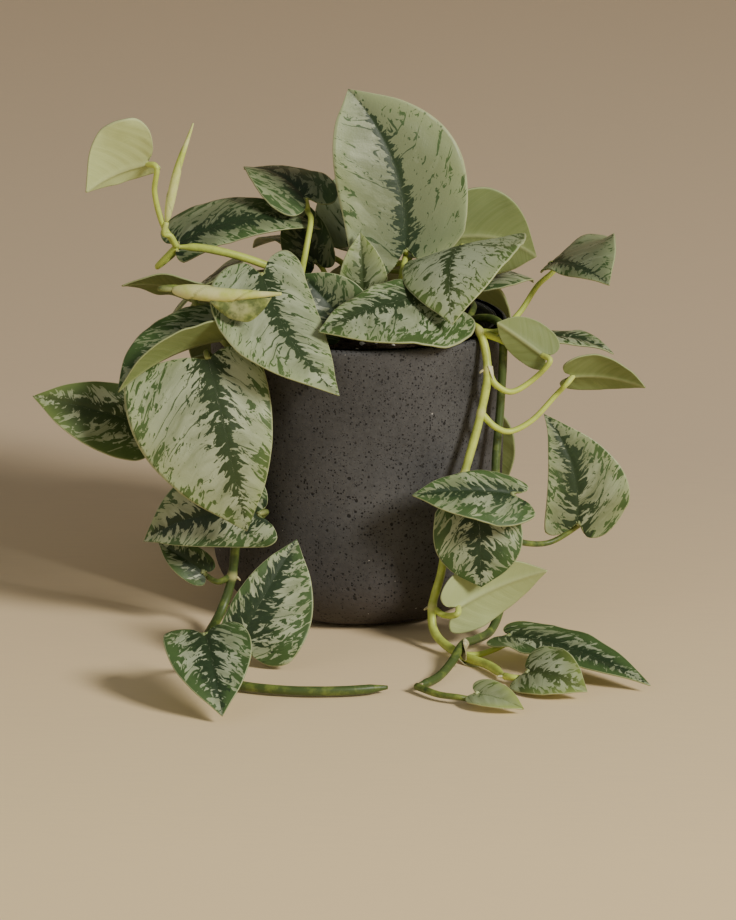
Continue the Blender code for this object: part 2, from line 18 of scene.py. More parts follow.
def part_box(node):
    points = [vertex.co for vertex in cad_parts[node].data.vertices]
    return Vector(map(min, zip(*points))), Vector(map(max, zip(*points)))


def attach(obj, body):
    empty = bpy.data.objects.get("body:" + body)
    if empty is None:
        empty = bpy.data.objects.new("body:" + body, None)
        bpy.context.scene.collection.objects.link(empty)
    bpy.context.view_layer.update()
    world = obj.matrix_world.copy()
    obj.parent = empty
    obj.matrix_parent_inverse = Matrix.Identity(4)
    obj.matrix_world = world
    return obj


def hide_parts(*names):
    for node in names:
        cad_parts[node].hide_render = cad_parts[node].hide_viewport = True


bl_info = {
    "name": "Satin pothos in a charcoal pot",
    "version": (1, 0, 0),
    "blender": (4, 5, 0),
    "location": "3D View > Sidebar > Pothos",
    "description": "Builds the fine leaves, stems, soil and pot of a trailing house plant",
    "category": "Object",
}

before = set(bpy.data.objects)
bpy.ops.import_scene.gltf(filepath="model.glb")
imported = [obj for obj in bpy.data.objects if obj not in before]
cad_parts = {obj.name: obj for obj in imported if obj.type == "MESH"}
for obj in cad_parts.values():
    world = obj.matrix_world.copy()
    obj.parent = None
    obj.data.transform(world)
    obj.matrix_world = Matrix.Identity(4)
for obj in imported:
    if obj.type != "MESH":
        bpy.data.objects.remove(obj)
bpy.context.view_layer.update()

MM = 0.001
UP = Vector((0.0, 0.0, 1.0))
BODY = "root"

# The backdrop, in metres: its width and depth, its height, how far behind the plant it rises at the
# least, and the radius of the curve.
BACKDROP = 8.0
BACKDROP_HEIGHT = 4.0
BACKDROP_BEHIND = 3.0
BACKDROP_CURVE = 0.9

# A blade's flat form, as the solid has it: the power that crowds the midrib's rows towards the notch,
# the waves along each edge, and how far the waves of the two edges are shifted.
VEIN_SLANT = 1.8
RIPPLES = 2.2
RIPPLE_SHIFT = 0.3

# A stalk's radius at the stem, as a share of the stem's, and at the blade; how far behind and below
# the notch it bends; and the share of a stem's first stretch that stands straight in the soil.
STALK_FOOT = 0.85
STALK_TOP = 1.35
KNEE_BEHIND = 3.0
KNEE_BELOW = 6.0
STRAIGHT_FOOT = 0.6

# Each blade's place in the noise, and the shift between its two halves.
SEED_STEP = 7.3
SEED_OTHER_HALF = 5.0

# Unevenness at a blade's edge: the height and length of its waves, the second only near the edge.
UNEVENNESS = ((2.0, 16.0), (1.0, 7.0))

# Millimetres that a side vein runs ahead for each one outwards, at the midrib and more at the edge.
VEIN_LEAN = (0.4, 0.5)

# The dark band's width at the notch, and how much of it is lost by the tip.
BAND_AT_NOTCH = 1.15
BAND_NARROWS = 0.85

# The midrib's width to one side, and how far out the swell between the veins is at its full height.
MIDRIB = 1.3
QUILT_FROM = 4.0

# On a stem: the swollen ring's and the pale ring's width, the narrower place beside the ring, and how
# uneven the stem is, as a share of its radius and in waves of this length. A stem with no leaf has
# its next ring nowhere near.
RING = 1.6
PALE_RING = 1.9
WAIST_FROM_RING = 4.5
WAIST = 2.0
STEM_UNEVEN = 0.05
STEM_WAVE = 9.0
NO_KNOT = 99.0

# A stem's free end: its radius there as a share, and the rows over which it narrows.
BLUNT_END = 0.4
END_ROWS = 12.0

# On a stalk: the swelling by the blade, its distance from the notch and its length, the pale length
# below the notch, and how much younger a stalk looks than its stem.
STALK_SIDES = 12
KNEE_SWELL = 0.25
KNEE_SWELL_FROM = 4.0
KNEE_SWELL_LENGTH = 2.5
PALE_TOP = 5.0
STALK_YOUNGER = 0.15

# A scale leaf: rows of faces, the share of its length behind the joint, degrees that each half wraps
# round the stem, and its thickness.
SHEATH_ROWS = 14
SHEATH_BEHIND = 0.15
SHEATH_WRAP = 115.0
SHEATH_SKIN = 0.35

# An air root's nub: its radii from the foot to the blunt tip, the step between them and its droop.
NUB_RADII = (0.75, 0.75, 0.75, 0.72, 0.7, 0.66, 0.6, 0.5, 0.3)
NUB_STEP = 0.4
NUB_DROOP = 0.03

# New leaves: the step along a roll, how much of a turn its seam takes, how far a loose flap bellies
# towards the front, and the flap's thickness.
ROLL_STEP = 0.8
SEAM = 0.07
FLAP_BELLY = 1.4
FLAP_SKIN = 0.5

# The pot's slight unevenness, and the length of its waves.
POT_SWELL = 0.25
POT_WAVE = 26.0

# The soil: how near the wall its lumps fade out, the length of the lumps and of the crumbs on them,
# and the crumbs' height; then the mean radius of loose crumbs and of perlite.
WALL_FADE = 8.0
LUMP_WAVE = 14.0
CRUMB_WAVE = 3.0
CRUMB_HEIGHT = 0.7
CRUMB_RADIUS = 1.6
PERLITE_RADIUS = 1.3

# Below its surface the soil steps down and inwards: shares of its depth, and of the last width.
SOIL_STEPS = ((-0.35, 0.985), (-0.4, 0.97), (-0.12, 0.93), (-0.09, 0.85))

# Half of a flat blade, from the notch at the stalk round the lobe to the tip: how far out, in half
# widths, and how far along, in lengths.
HEART = (
    (0.05, 0.00),
    (0.25, -0.13),
    (0.64, -0.15),
    (0.93, -0.01),
    (1.00, 0.23),
    (0.88, 0.49),
    (0.58, 0.73),
    (0.22, 0.90),
    (0.00, 1.00),
)

Stem = namedtuple("Stem", "name route radius")

# The route's first point is the foot in the soil, and leaves grow from its numbered points.
STEMS = (
    Stem("crown_stem", ((12, 8, 112), (12, 8, 136), (14, 6, 146), (18, 4, 154), (21, 6, 163)), 2.5),
    Stem("reaching_stem", (
        (-12, 4, 112), (-12, 4, 136), (-17, 3, 153), (-30, 0, 166), (-54, -4, 177), (-76, -6, 183),
        (-92, -6, 184)), 2.0),
    Stem("left_vine", (
        (-28, -16, 112), (-28, -16, 136), (-36, -24, 149), (-47, -36, 154), (-59, -48, 153),
        (-65, -56, 140), (-64, -58, 110), (-61, -56, 80), (-60, -55, 54), (-62, -56, 27),
        (-67, -62, 11), (-73, -80, 3.8), (-77, -105, 3.4), (-77, -130, 3.4), (-69, -150, 3.4),
        (-52, -163, 3.4), (-28, -169, 3.4), (-4, -168, 3.4), (16, -162, 3.4)), 2.3),
    Stem("right_vine", (
        (38, -8, 112), (38, -8, 136), (44, -18, 147), (53, -34, 152), (60, -45, 151.5),
        (64, -52, 134), (61, -57, 113), (53, -67, 84), (46, -76, 58), (42, -80, 36),
        (38, -83, 20), (40, -90, 8), (52, -108, 3.4), (65, -124, 3.4), (73, -142, 3.4)), 2.2),
    Stem("far_right_vine", (
        (46, 6, 112), (46, 6, 136), (54, -4, 146), (62, -18, 152), (70, -29, 152),
        (72, -37, 142), (71, -40, 112), (69, -48, 81), (71, -53, 52), (73, -60, 20),
        (68, -76, 7), (59, -96, 7.5), (53, -110, 9.4), (47, -127, 5), (40, -146, 3.4),
        (30, -160, 3.4)), 2.2),
    Stem("back_left_vine", (
        (-26, 24, 112), (-26, 24, 136), (-33, 34, 148), (-43, 49, 153), (-51, 59, 152.5),
        (-56, 65, 138), (-55, 66, 100), (-53, 68, 62), (-55, 70, 30), (-61, 75, 10),
        (-74, 86, 3.6), (-92, 94, 3.4)), 2.3),
    Stem("back_right_vine", (
        (24, 30, 112), (24, 30, 136), (27, 42, 148), (31, 59, 153), (34, 70, 152),
        (35, 78, 137), (33, 80, 100), (36, 82, 64), (45, 82, 34), (52, 78, 14)), 2.2),
    Stem("back_stem", ((2, 40, 112), (2, 40, 136), (3, 44, 148), (5, 48, 160)), 2.2),
)

# 0 for a young yellow-green stem and 1 for an old dark green one. left_vine and far_right_vine are
# set darkest partly as painted shade, for where they hang in shade away from the key light.
STEM_AGES_AND_SHADE = {
    "crown_stem": 0.3, "reaching_stem": 0.05, "left_vine": 1.0, "right_vine": 0.15,
    "far_right_vine": 1.0, "back_left_vine": 0.7, "back_right_vine": 0.5, "back_stem": 0.3,
}

Leaf = namedtuple(
    "Leaf",
    "name stem joint stalk base tip face width fold cup arch sweep wave lobe late twist",
    defaults=(6, -0.08, 0.08, 0.0, 0.04, 1.0, 1.0, 0),
)

# A leaf grows from a numbered point of its stem: its stalk's bends, the notch where the stalk meets
# the blade, the tip, the way its upper side faces, and its half widths left and right of the midrib,
# seen from above with the tip ahead. Fold lifts both halves, in degrees; cup, arch, sweep and wave
# are shares of the blade's own size; lobe is how long the two lobes are, late below 1 puts the
# widest part nearer the tip, and twist turns the tip against the base, in degrees. One width or one
# lobe stands for both sides.
LEAVES = (
    Leaf("crown_leaf_1", "crown_stem", 4, ((22, 7, 172),), (23, 8, 181), (-7, 22, 260),
         (0.2, -1, 0.1), (33, 34), 8, -0.05, 0.05, 0.1, late=0.65, lobe=0.7),
    Leaf("crown_leaf_2", "crown_stem", 2, ((4, 16, 149), (-12, 28, 154)), (-23, 36, 168),
         (-33, 48, 199), (-0.4, -0.9, 0.2), (15, 13)),
    Leaf("crown_leaf_3", "crown_stem", 4, ((28, 12, 168),), (38, 21, 182), (90, 34, 172),
         (0.15, 1, 0.1), (24, 26), 2, -0.05, 0.03, 0.12, late=0.7),
    Leaf("crown_leaf_4", "crown_stem", 3, ((36, 6, 163),), (51, 0, 185), (46, -66, 160),
         (-0.35, -0.35, 0.85), (36, 27), -2, -0.06, 0.17, lobe=(0.7, 0.3), late=0.85),
    Leaf("crown_leaf_5", "crown_stem", 2, ((20, -6, 152), (27, -22, 158)), (33, -33, 167),
         (-20, -72, 157), (-0.05, -0.5, 0.87), (40, 14), 2, -0.03, 0.06, 0.0, 0.08, late=0.9),
    Leaf("crown_leaf_6", "crown_stem", 2, ((8, 0, 152),), (2, -6, 157), (0, -3, 192),
         (0.1, -1, 0.2), 13, 12),
    Leaf("crown_leaf_7", "crown_stem", 1, ((4, -6, 142),), (-8, -18, 150), (-30, -16, 173),
         (-0.1, -0.8, 0.5), 17, 8, 0.1, 0.1),
    Leaf("reaching_leaf_1", "reaching_stem", 3, ((-27, 4, 182), (-25, 14, 194)), (-28, 25, 203),
         (-60, 56, 211), (0, 0.02, 1), 22, 8, -0.14, 0.12, twist=-20),
    Leaf("reaching_leaf_2", "reaching_stem", 6, ((-102, 1, 172),), (-92, 13, 181), (-20, 20, 188),
         (-0.05, -0.4, 0.9), (26, 14), 0, -0.15, 0.15, lobe=(0.6, 0.2), late=0.9, twist=15),
    Leaf("reaching_leaf_3", "reaching_stem", 6, ((-99, -7, 196), (-103, -7, 212)), (-107, -5, 226),
         (-137, -14, 213), (-0.3, 0.8, 0.4), (30, 8), 6, 0.05, 0.1),
    Leaf("left_leaf_1", "left_vine", 2, ((-42, -30, 162),), (-48, -40, 178), (-9, -92, 130),
         (0.2, -0.56, 0.76), (23, 32), 2, -0.06, 0.03, 0.1, lobe=0.9),
    Leaf("left_leaf_2", "left_vine", 3, ((-66, -30, 160),), (-83, -27, 165), (-118, -38, 171),
         (0.1, 0.5, 0.85), 17),
    Leaf("left_leaf_3", "left_vine", 4, ((-63, -52, 153),), (-68, -57, 149), (-118, -75, 126),
         (-0.35, 0.05, 0.95), (20, 27), 40, -0.05, 0.08, lobe=0.6),
    Leaf("left_leaf_4", "left_vine", 5, ((-70, -61, 139),), (-74, -70, 142), (-54, -83, 58),
         (0, -0.95, 0.3), (26, 45), -4, -0.05, 0.12, lobe=0.3),
    Leaf("left_leaf_5", "left_vine", 6, ((-80, -53, 103), (-97, -42, 100)), (-107, -44, 102),
         (-162, -46, 116), (-0.1, -0.85, 0.5), (21, 16), 6, lobe=0.8),
    Leaf("left_leaf_6", "left_vine", 8, ((-53, -62, 56),), (-49, -69, 63), (-106, -62, 46),
         (0, -0.95, 0.3), (18, 24), 4, -0.05, 0.05, 0.1, lobe=0.7),
    Leaf("left_leaf_7", "left_vine", 9, ((-69, -57, 24),), (-77, -55, 29), (-99, -50, 42),
         (0.1, -0.9, 0.4), 9, 8),
    Leaf("left_leaf_8", "left_vine", 12, ((-66, -110, 6),), (-55, -121, 15),
         (-29, -103, 60), (-0.05, -0.9, 0.35), (13, 28), 4, -0.05, 0.05, lobe=0.7),
    Leaf("left_leaf_9", "left_vine", 13, ((-79, -146, 14), (-77, -158, 24)), (-72, -166, 30),
         (-62, -212, 4), (0, -0.6, 0.8), 21, 8, -0.05, 0.1, lobe=0.8),
    Leaf("right_leaf_1", "right_vine", 4, ((70, -40, 151), (80, -26, 157), (89, -14, 168)),
         (96, -10, 179), (123, -58, 179), (-0.46, -0.2, 0.86), (30, 8), 2, -0.1, 0.1, 0.0, 0.14,
         lobe=0.5),
    Leaf("right_leaf_2", "right_vine", 5, ((68, -54, 127), (76, -53, 123), (86, -50, 128)),
         (91, -48, 141), (68, -56, 159), (-0.5, 0.7, 0.3), (13, 10), 20),
    Leaf("right_leaf_3", "right_vine", 4, ((72, -46, 147), (82, -37, 139)), (88, -29, 145),
         (127, -37, 139), (0.05, -0.05, 1), 13, 8, -0.08, 0.1, 0.0, 0.12),
    Leaf("right_leaf_4", "right_vine", 6, ((68, -57, 106), (76, -54, 103), (87, -50, 108),
         (98, -45, 119)), (107, -43, 129), (143, -45, 124), (0.1, 0.75, 0.6), (11, 16)),
    Leaf("right_leaf_5", "right_vine", 7, ((62, -76, 77), (71, -82, 75)), (76, -87, 80),
         (27, -99, 82), (0, -0.6, 0.8), (20, 13), 4, -0.1, 0.06, lobe=1.3),
    Leaf("right_leaf_6", "right_vine", 8, ((52, -82, 66),), (59, -88, 71), (62, -90, 33),
         (0, -1, 0.05), 22, -2, -0.05, 0.08, late=0.7),
    Leaf("right_leaf_7", "right_vine", 10, ((44, -86, 17),), (51, -88, 22), (95, -77, 38),
         (0.1, 0.95, 0.3), 17),
    Leaf("right_leaf_8", "right_vine", 12, ((62, -107, 3.6),), (76, -106, 13),
         (143, -156, 4), (-0.1, -0.25, 0.95), (15, 14), 4, -0.05, 0.06, lobe=0.6),
    Leaf("right_leaf_9", "right_vine", 14, ((77, -146, 4),), (84, -149, 8), (112, -170, 5),
         (0, -0.7, 0.7), (16, 14), 6, 0.0, 0.12),
    Leaf("far_right_leaf_1", "far_right_vine", 8, ((82, -47, 44), (97, -37, 41)),
         (111, -38, 52), (93, -34, 107), (0.1, -1, 0.1), (18, 27), 4, -0.05, 0.06, 0.1,
         lobe=(0.3, 1.2), late=1.5),
    Leaf("far_right_leaf_2", "far_right_vine", 15, ((40, -172, 3.4), (50, -178, 4)),
         (59, -181, 7), (81, -192, 3), (0, -0.6, 0.8), 8, 14),
    Leaf("back_left_leaf_1", "back_left_vine", 4, ((-60, 70, 153),), (-62, 77, 149), (-78, 96, 82),
         (-0.5, 0.8, 0.3), (24, 30), -2, -0.08, 0.1, lobe=0.6),
    Leaf("back_left_leaf_2", "back_left_vine", 3, ((-56, 44, 160),), (-64, 40, 164), (-100, 36, 130),
         (-0.5, 0.1, 0.85), 20),
    Leaf("back_left_leaf_3", "back_left_vine", 6, ((-68, 66, 98),), (-78, 64, 99), (-112, 52, 62),
         (-0.7, 0.7, 0.3), 23),
    Leaf("back_left_leaf_4", "back_left_vine", 7, ((-46, 76, 60),), (-38, 80, 64), (-18, 96, 18),
         (0.2, 0.95, 0.3), 23),
    Leaf("back_left_leaf_5", "back_left_vine", 10, ((-76, 94, 7),), (-82, 100, 10),
         (-92, 130, 3), (0, -0.3, 0.95), 17, 8),
    Leaf("back_right_leaf_1", "back_right_vine", 4, ((41, 78, 152),), (48, 86, 146), (62, 106, 82),
         (0.4, 0.9, 0.3), 29, -2, -0.08, 0.1, lobe=0.6),
    Leaf("back_right_leaf_2", "back_right_vine", 3, ((22, 68, 155),), (13, 80, 156),
         (-8, 114, 112), (-0.1, 0.75, 0.7), (24, 18), 0, -0.1, 0.12, lobe=0.8),
    Leaf("back_right_leaf_3", "back_right_vine", 6, ((22, 88, 104),), (13, 92, 106), (-2, 102, 48),
         (-0.2, 1, 0.1), 24),
    Leaf("back_right_leaf_4", "back_right_vine", 7, ((48, 88, 68),), (58, 90, 70), (68, 96, 20),
         (0.3, 0.9, 0.2), 22),
    Leaf("back_right_leaf_5", "back_right_vine", 9, ((48, 90, 8),), (42, 98, 9), (14, 118, 4),
         (0, 0.3, 0.95), 17, 8),
    Leaf("back_leaf_1", "back_stem", 3, ((4, 52, 170),), (2, 56, 177), (8, 88, 208),
         (0, -0.7, 0.75), 27, 4, -0.1, 0.12),
    Leaf("back_leaf_2", "back_stem", 2, ((16, 50, 162),), (27, 54, 170), (67, 72, 163),
         (0.2, 0.3, 0.9), 25, 2, -0.1, 0.12),
    Leaf("back_leaf_3", "back_stem", 2, ((-8, 52, 162),), (-18, 61, 171), (-56, 86, 163),
         (-0.2, 0.3, 0.9), 25, 2, -0.1, 0.12),
    Leaf("back_leaf_4", "far_right_vine", 2, ((58, 12, 150), (57, 32, 149)), (58, 45, 157),
         (90, 70, 150), (0.3, 0.2, 0.9), 19, 2, -0.1, 0.12),
)

# Leaves still rolled up: where they grow, the bends of their stalk, the points that they run
# through from foot to tip, and their radius in the middle.
Roll = namedtuple("Roll", "name stem joint stalk run radius")

ROLLED_LEAVES = (
    Roll("reaching_new_leaf", "reaching_stem", 6, ((-95, -8, 190),),
         ((-97, -8, 197), (-92, -5, 222), (-84, 0, 246)), 2.4),
    Roll("left_new_leaf", "left_vine", 3, ((-64, -38, 163), (-88, -46, 172)),
         ((-92, -62, 175), (-66, -71, 175), (-38, -76, 177)), 4.0),
)

# Dried or tender scale leaves: the joint they wrap, their length, how far the point lifts off, the
# side they open to in degrees, and how papery they are.
Sheath = namedtuple("Sheath", "stem joint length lift turn paper")

SHEATHS = (
    Sheath("right_vine", 5, 11, 2.5, 200, 0.5),
    Sheath("right_vine", 12, 15, 3.5, 60, 0.8),
    Sheath("far_right_vine", 12, 16, 3.0, 120, 1.0),
    Sheath("left_vine", 13, 14, 3.0, 90, 0.9),
    Sheath("reaching_stem", 6, 12, 2.0, 250, 0.4),
    Sheath("back_left_vine", 6, 12, 2.5, 30, 0.9),
    Sheath("back_right_vine", 6, 12, 2.5, 150, 0.8),
)

# A joint lower than this lies on the surface.
LYING_BELOW = 12.0

# Turns that a rolled leaf's edge makes in each step along it.
WINDING = 0.035

# A part of a new leaf that hangs loose: the edge that it hangs from and its lowest point.
Flap = namedtuple("Flap", "name edge point")

FLAPS = (
    Flap("left_new_leaf_flap", ((-75, -70, 174), (-58, -73, 173.5), (-43, -76, 175)), (-56, -77, 163)),
)

# How a blade is coloured: the share of silver, how young and pale it is, how wide its dark middle
# band is, how green its edge is, the dullness of its silver, which on some leaves is also painted
# shade and on others painted light for how they face the key light, and how much darker its right
# half is painted than its middle, as painted shade, with its left half lighter by as much. All but
# the band's width are shares.
Look = namedtuple("Look", "silver youth band edge dull lean", defaults=(0.7, 0.0, 7.0, 0.5, 0.4, 0.0))

# Painted shade and painted light in these: crown_leaf_1's high dullness and its right half's extra
# darkness are painted shade, and crown_leaf_4's negative dullness is painted light on a leaf that
# faces away from the key light.
LOOKS = {
    "crown_leaf_1": Look(0.89, 0, 5.5, 0.2, 0.85, 0.35),
    "crown_leaf_2": Look(0.35, 0, 4, 0.4, 0.8),
    "crown_leaf_4": Look(0.83, 0.25, 4.5, 0.7, -0.4),
    "crown_leaf_5": Look(0.66, 0.1, 6, 0.7, 0.2),
    "crown_leaf_6": Look(0.8, 0.4, 2, 0.3, 0.6),
    "crown_leaf_7": Look(0.5, 0, 4, 0.6, 0.8),
    "reaching_leaf_1": Look(0.4, 0, 4, 0.4, 0.9),
    "reaching_leaf_2": Look(0.6, 0, 5, 0.5, 0.9),
    "reaching_leaf_3": Look(1, 1, 0.1, 0),
    "left_leaf_1": Look(0.9, 0.1, 5.5, 0.45, 0.15),
    "left_leaf_3": Look(0.5, 0, 5, 0.5, 0.6),
    "left_leaf_4": Look(0.9, 0.15, 8, 0.75, 0),
    "left_leaf_5": Look(0.5, 0.3, 6, 0.9, 0.1),
    "left_leaf_6": Look(0.68, 0, 7, 0.8, 0.1),
    "left_leaf_7": Look(0.5, 0.1, 4, 0.8, 0.2),
    "left_leaf_8": Look(0.68, 0, 9, 1, 0.1),
    "left_leaf_9": Look(0.55, 0, 7, 0.8, 0.2),
    "right_leaf_1": Look(0.8, 0, 3, 0.2, 0.9),
    "right_leaf_5": Look(0.6, 0, 4, 0.8, 0.6),
    "right_leaf_6": Look(0.68, 0, 7.5, 0.9, 0.2),
    "right_leaf_7": Look(0.8, 0.7, 4, 0.5, 0.2),
    "right_leaf_8": Look(0.5, 0, 5, 1, 0.3),
    "right_leaf_9": Look(0.75, 0.6, 3, 0.8, 0),
    "far_right_leaf_1": Look(0.72, 0, 6.5, 0.5, 0.6),
    "far_right_leaf_2": Look(1, 1, 0.1, 0),
    "back_left_leaf_1": Look(0.85, 0, 6, 0.4),
    "back_right_leaf_1": Look(0.55, 0, 8, 0.9),
    "back_right_leaf_3": Look(0.85, 0.1, 6, 0.5),
    "back_leaf_1": Look(0.9, 0, 5, 0.2),
    "back_leaf_3": Look(0.5, 0, 7, 0.8),
}


def linear(code):
    """An sRGB colour such as "#3f3d3e" as the linear red, green, blue and alpha that shaders take."""
    parts = [int(code[i:i + 2], 16) / 255.0 for i in (1, 3, 5)]
    return tuple(p / 12.92 if p <= 0.04045 else ((p + 0.055) / 1.055) ** 2.4 for p in parts) + (1.0,)


def colour(name, code):
    """A colour property."""
    return bpy.props.FloatVectorProperty(
        name=name, description=name + " as seen in soft light", subtype="COLOR", size=4,
        min=0.0, max=1.0, default=linear(code))


def millimetres(name, about, size):
    """A length property, its default given in millimetres."""
    return bpy.props.FloatProperty(name=name, description=about, default=size * MM, unit="LENGTH")


def how_many(name, about, default, least):
    """A property that counts faces or pieces."""
    return bpy.props.IntProperty(name=name, description=about, default=default, min=least)


def amount(name, about, default):
    """A property that is a plain number, never below zero."""
    return bpy.props.FloatProperty(name=name, description=about, default=default, min=0.0)


class BladeSettings(bpy.types.PropertyGroup):
    """Sizes and colours of the open leaves."""

    thickness: millimetres("Thickness", "Thickness of a blade", 0.7)
    groove: millimetres("Midrib groove", "Depth of the groove over the midrib", 0.45)
    rib: millimetres("Rib", "How far the midrib stands out below", 0.8)
    quilt: millimetres("Quilting", "Swell between the side veins", 0.22)
    vein_gap: millimetres("Vein spacing", "Distance between side veins", 6.0)
    rows: how_many("Rows", "Faces along a blade", 56, 8)
    columns: how_many("Columns", "Faces across a blade", 40, 4)
    silver: colour("Silver", "#abb597")
    # The darker satin silver, which the silver also turns towards where shade is painted on it.
    satin: colour("Satin shade", "#727d5c")
    silver_edge: colour("Silver near the edge", "#a1b080")
    dark: colour("Dark green", "#273a20")
    green: colour("Green", "#466032")
    lime: colour("Yellow-green", "#94a450")
    margin: colour("Margin line", "#b3bb8c")
    under: colour("Underside", "#74834d")
    under_new: colour("Young underside", "#bcc88a")


class StemSettings(bpy.types.PropertyGroup):
    """Sizes and colours of the stems and leaf stalks."""

    sides: how_many("Sides", "Faces round a stem", 18, 6)
    step: millimetres("Step", "Length of a face along a stem", 1.3)
    swell: amount("Ring swell", "How much a stem swells at a leaf", 0.13)
    young: colour("Young stem", "#c0d05e")
    old: colour("Old stem", "#4a5c2e")
    ring: colour("Ring", "#d0d08c")
    sheath: colour("Sheath", "#d3cfa4")
    root: colour("Root nub", "#8a7a45")
    rolled: colour("Rolled leaf", "#dedf9e")


class PotSettings(bpy.types.PropertyGroup):
    """Sizes and colours of the pot."""

    low_radius: millimetres("Low radius", "Outer radius above the rounded edge", 72.8)
    wall: millimetres("Wall", "Thickness of the wall", 8.0)
    floor: millimetres("Floor", "Thickness of the floor", 10.0)
    edge: millimetres("Lower edge", "Rounding of the lower edge", 29.0)
    inner: millimetres("Inner edge", "Rounding inside at the floor", 20.0)
    rim: millimetres("Rim", "Rounding of the rim", 2.5)
    pore: millimetres("Pore spacing", "Distance between the larger pores", 3.6)
    stone: colour("Stone", "#4e4e4e")
    shade: colour("Darker stone", "#373737")
    # Painted shade: the near-black inside the pores, which the surface only dents.
    pore_in_painted_shade: colour("Inside a pore", "#0f0e0e")
    speck: colour("Pale grit", "#b9b5b0")
    # Darker brown that the pot turns towards its bottom.
    low_brown: colour("Brown tint", "#43362f")


class SoilSettings(bpy.types.PropertyGroup):
    """Sizes and colours of the potting soil."""

    depth: millimetres("Depth", "Depth of the soil below the rim", 14.0)
    lump: millimetres("Lumps", "Height of the lumps", 3.0)
    crumbs: how_many("Crumbs", "Loose crumbs", 260, 0)
    peat: colour("Peat", "#2b2018")
    dry: colour("Dry peat", "#54412f")
    perlite: colour("Perlite", "#d9d5cb")


class StageSettings(bpy.types.PropertyGroup):
    """The floor, the lights and the camera."""

    lens: amount("Lens", "Focal length in mm", 200.0)
    lift: bpy.props.FloatProperty(
        name="Lift", description="How far the camera looks down", default=math.radians(15.2),
        subtype="ANGLE")
    roll: bpy.props.FloatProperty(
        name="Roll", description="Lean of the camera", default=math.radians(-0.7), subtype="ANGLE")
    distance: millimetres("Distance", "From the camera to the plant", 2599.0)
    aim: bpy.props.FloatVectorProperty(
        name="Aim", description="Point in the middle of the view", subtype="XYZ",
        default=(5.3 * MM, 0.0, 72.7 * MM))
    key: amount("Key light", "Watts", 168.0)
    fill: amount("Fill light", "Watts", 24.0)
    sky: amount("Room light", "Strength", 0.2)
    # Painted shade and painted light: the linen's colour at the back, darkened for light that falls
    # off with distance, and the floor colour, the same linen at the front where it is lit most.
    cloth: colour("Backdrop", "#d8c2a1")
    floor: colour("Floor", "#fae1ae")


def settings():
    """All the settings, kept on the scene."""
    return bpy.context.scene.pothos


def deselect():
    """Leave nothing selected, so that an operator acts on the new piece alone."""
    for obj in bpy.context.selected_objects:
        obj.select_set(False)


def join(pieces):
    """Join pieces into the first of them."""
    deselect()
    for obj in pieces:
        obj.select_set(True)
    bpy.context.view_layer.objects.active = pieces[0]
    bpy.ops.object.join()
    return pieces[0]


def feed(socket, value):
    """Link an input to a socket, or set it to a plain value. None leaves it as it is."""
    if isinstance(value, bpy.types.NodeSocket):
        socket.id_data.links.new(value, socket)
    elif value is not None:
        socket.default_value = value


def node(tree, kind, *values, out=None, **changes):
    """Add a node with its settings, feed the inputs that it shows, in order, and give an output.

    "Math ADD" is a Math node whose operation is ADD, and "Mix RGBA" mixes colours. The output is
    the first one that the node shows, the one that out names, or a list with out="all".
    """
    kind, _, mode = kind.partition(" ")
    made = tree.nodes.new("ShaderNode" + kind)
    if mode:
        changes["data_type" if kind == "Mix" else "operation"] = mode
    for key, value in changes.items():
        setattr(made, key, value)
    for socket, value in zip([item for item in made.inputs if item.enabled], values):
        feed(socket, value)
    shown = [item for item in made.outputs if item.enabled]
    return shown if out == "all" else next(item for item in shown if out in (None, item.name))


def shade(mat, **values):
    """Give the inputs of a material's shader a socket or a plain value each."""
    for key, value in values.items():
        feed(mat.node_tree.nodes["Principled BSDF"].inputs[key.replace("_", " ")], value)


def new_material(name, **values):
    """A material with constant values on its shader, and the function that adds its nodes."""
    mat = bpy.data.materials.new(name)
    mat.use_nodes = True
    shade(mat, **values)
    return mat, partial(node, mat.node_tree)


def stored(add, name):
    """A vector stored on the mesh, whole and as its three parts."""
    whole = add("Attribute", out="Vector", attribute_name=name)
    return whole, add("SeparateXYZ", whole, out="all")


def veined(add, vein, often, detail=2.0, rough=0.5, swirl=0.0, shift=(0, 0, 0), scale=1.0, out=None):
    """A cloudy pattern along the side veins: it changes often[0] times in a millimetre outwards, and
    often[1] times from vein to vein."""
    place = add("VectorMath MULTIPLY_ADD", vein, (*often, 1.0), shift)
    return add("TexNoise", place, scale, detail, rough, None, swirl, out=out)


def along_spline(points, share):
    """The point at a share, 0 to 1, of a smooth curve through the points."""
    last = len(points) - 1
    place = min(max(share, 0.0), 1.0) * last
    i = min(int(place), last - 1)
    u = place - i
    p1, p2 = Vector(points[i]), Vector(points[i + 1])
    p0 = Vector(points[i - 1]) if i > 0 else 2 * p1 - p2
    p3 = Vector(points[i + 2]) if i + 2 <= last else 2 * p2 - p1
    return 0.5 * (2 * p1 + (p2 - p0) * u + (2 * p0 - 5 * p1 + 4 * p2 - p3) * u ** 2
                  + (3 * p1 - p0 - 3 * p2 + p3) * u ** 3)


def leaf_axes(leaf):
    """The blade's length and its own axes: right, ahead and up."""
    base, tip = Vector(leaf.base), Vector(leaf.tip)
    ahead = (tip - base).normalized()
    face = Vector(leaf.face)
    up = (face - face.dot(ahead) * ahead).normalized()
    return (tip - base).length, ahead.cross(up), ahead, up


def on_side(measure, across):
    """A leaf's measure on the left or the right of its midrib."""
    return measure[0 if across < 0 else 1] if isinstance(measure, tuple) else measure


def blade_spot(leaf, across, along):
    """Where a spot lies on the flat blade: half widths out, and lengths ahead of the notch."""
    out, up_to = along_spline([(x, y, 0.0) for x, y in HEART], along)[:2]
    up_to = up_to ** leaf.late if up_to > 0 else up_to * on_side(leaf.lobe, across)
    midrib = along ** VEIN_SLANT
    return max(0.0, out) * abs(across), midrib + (up_to - midrib) * abs(across)


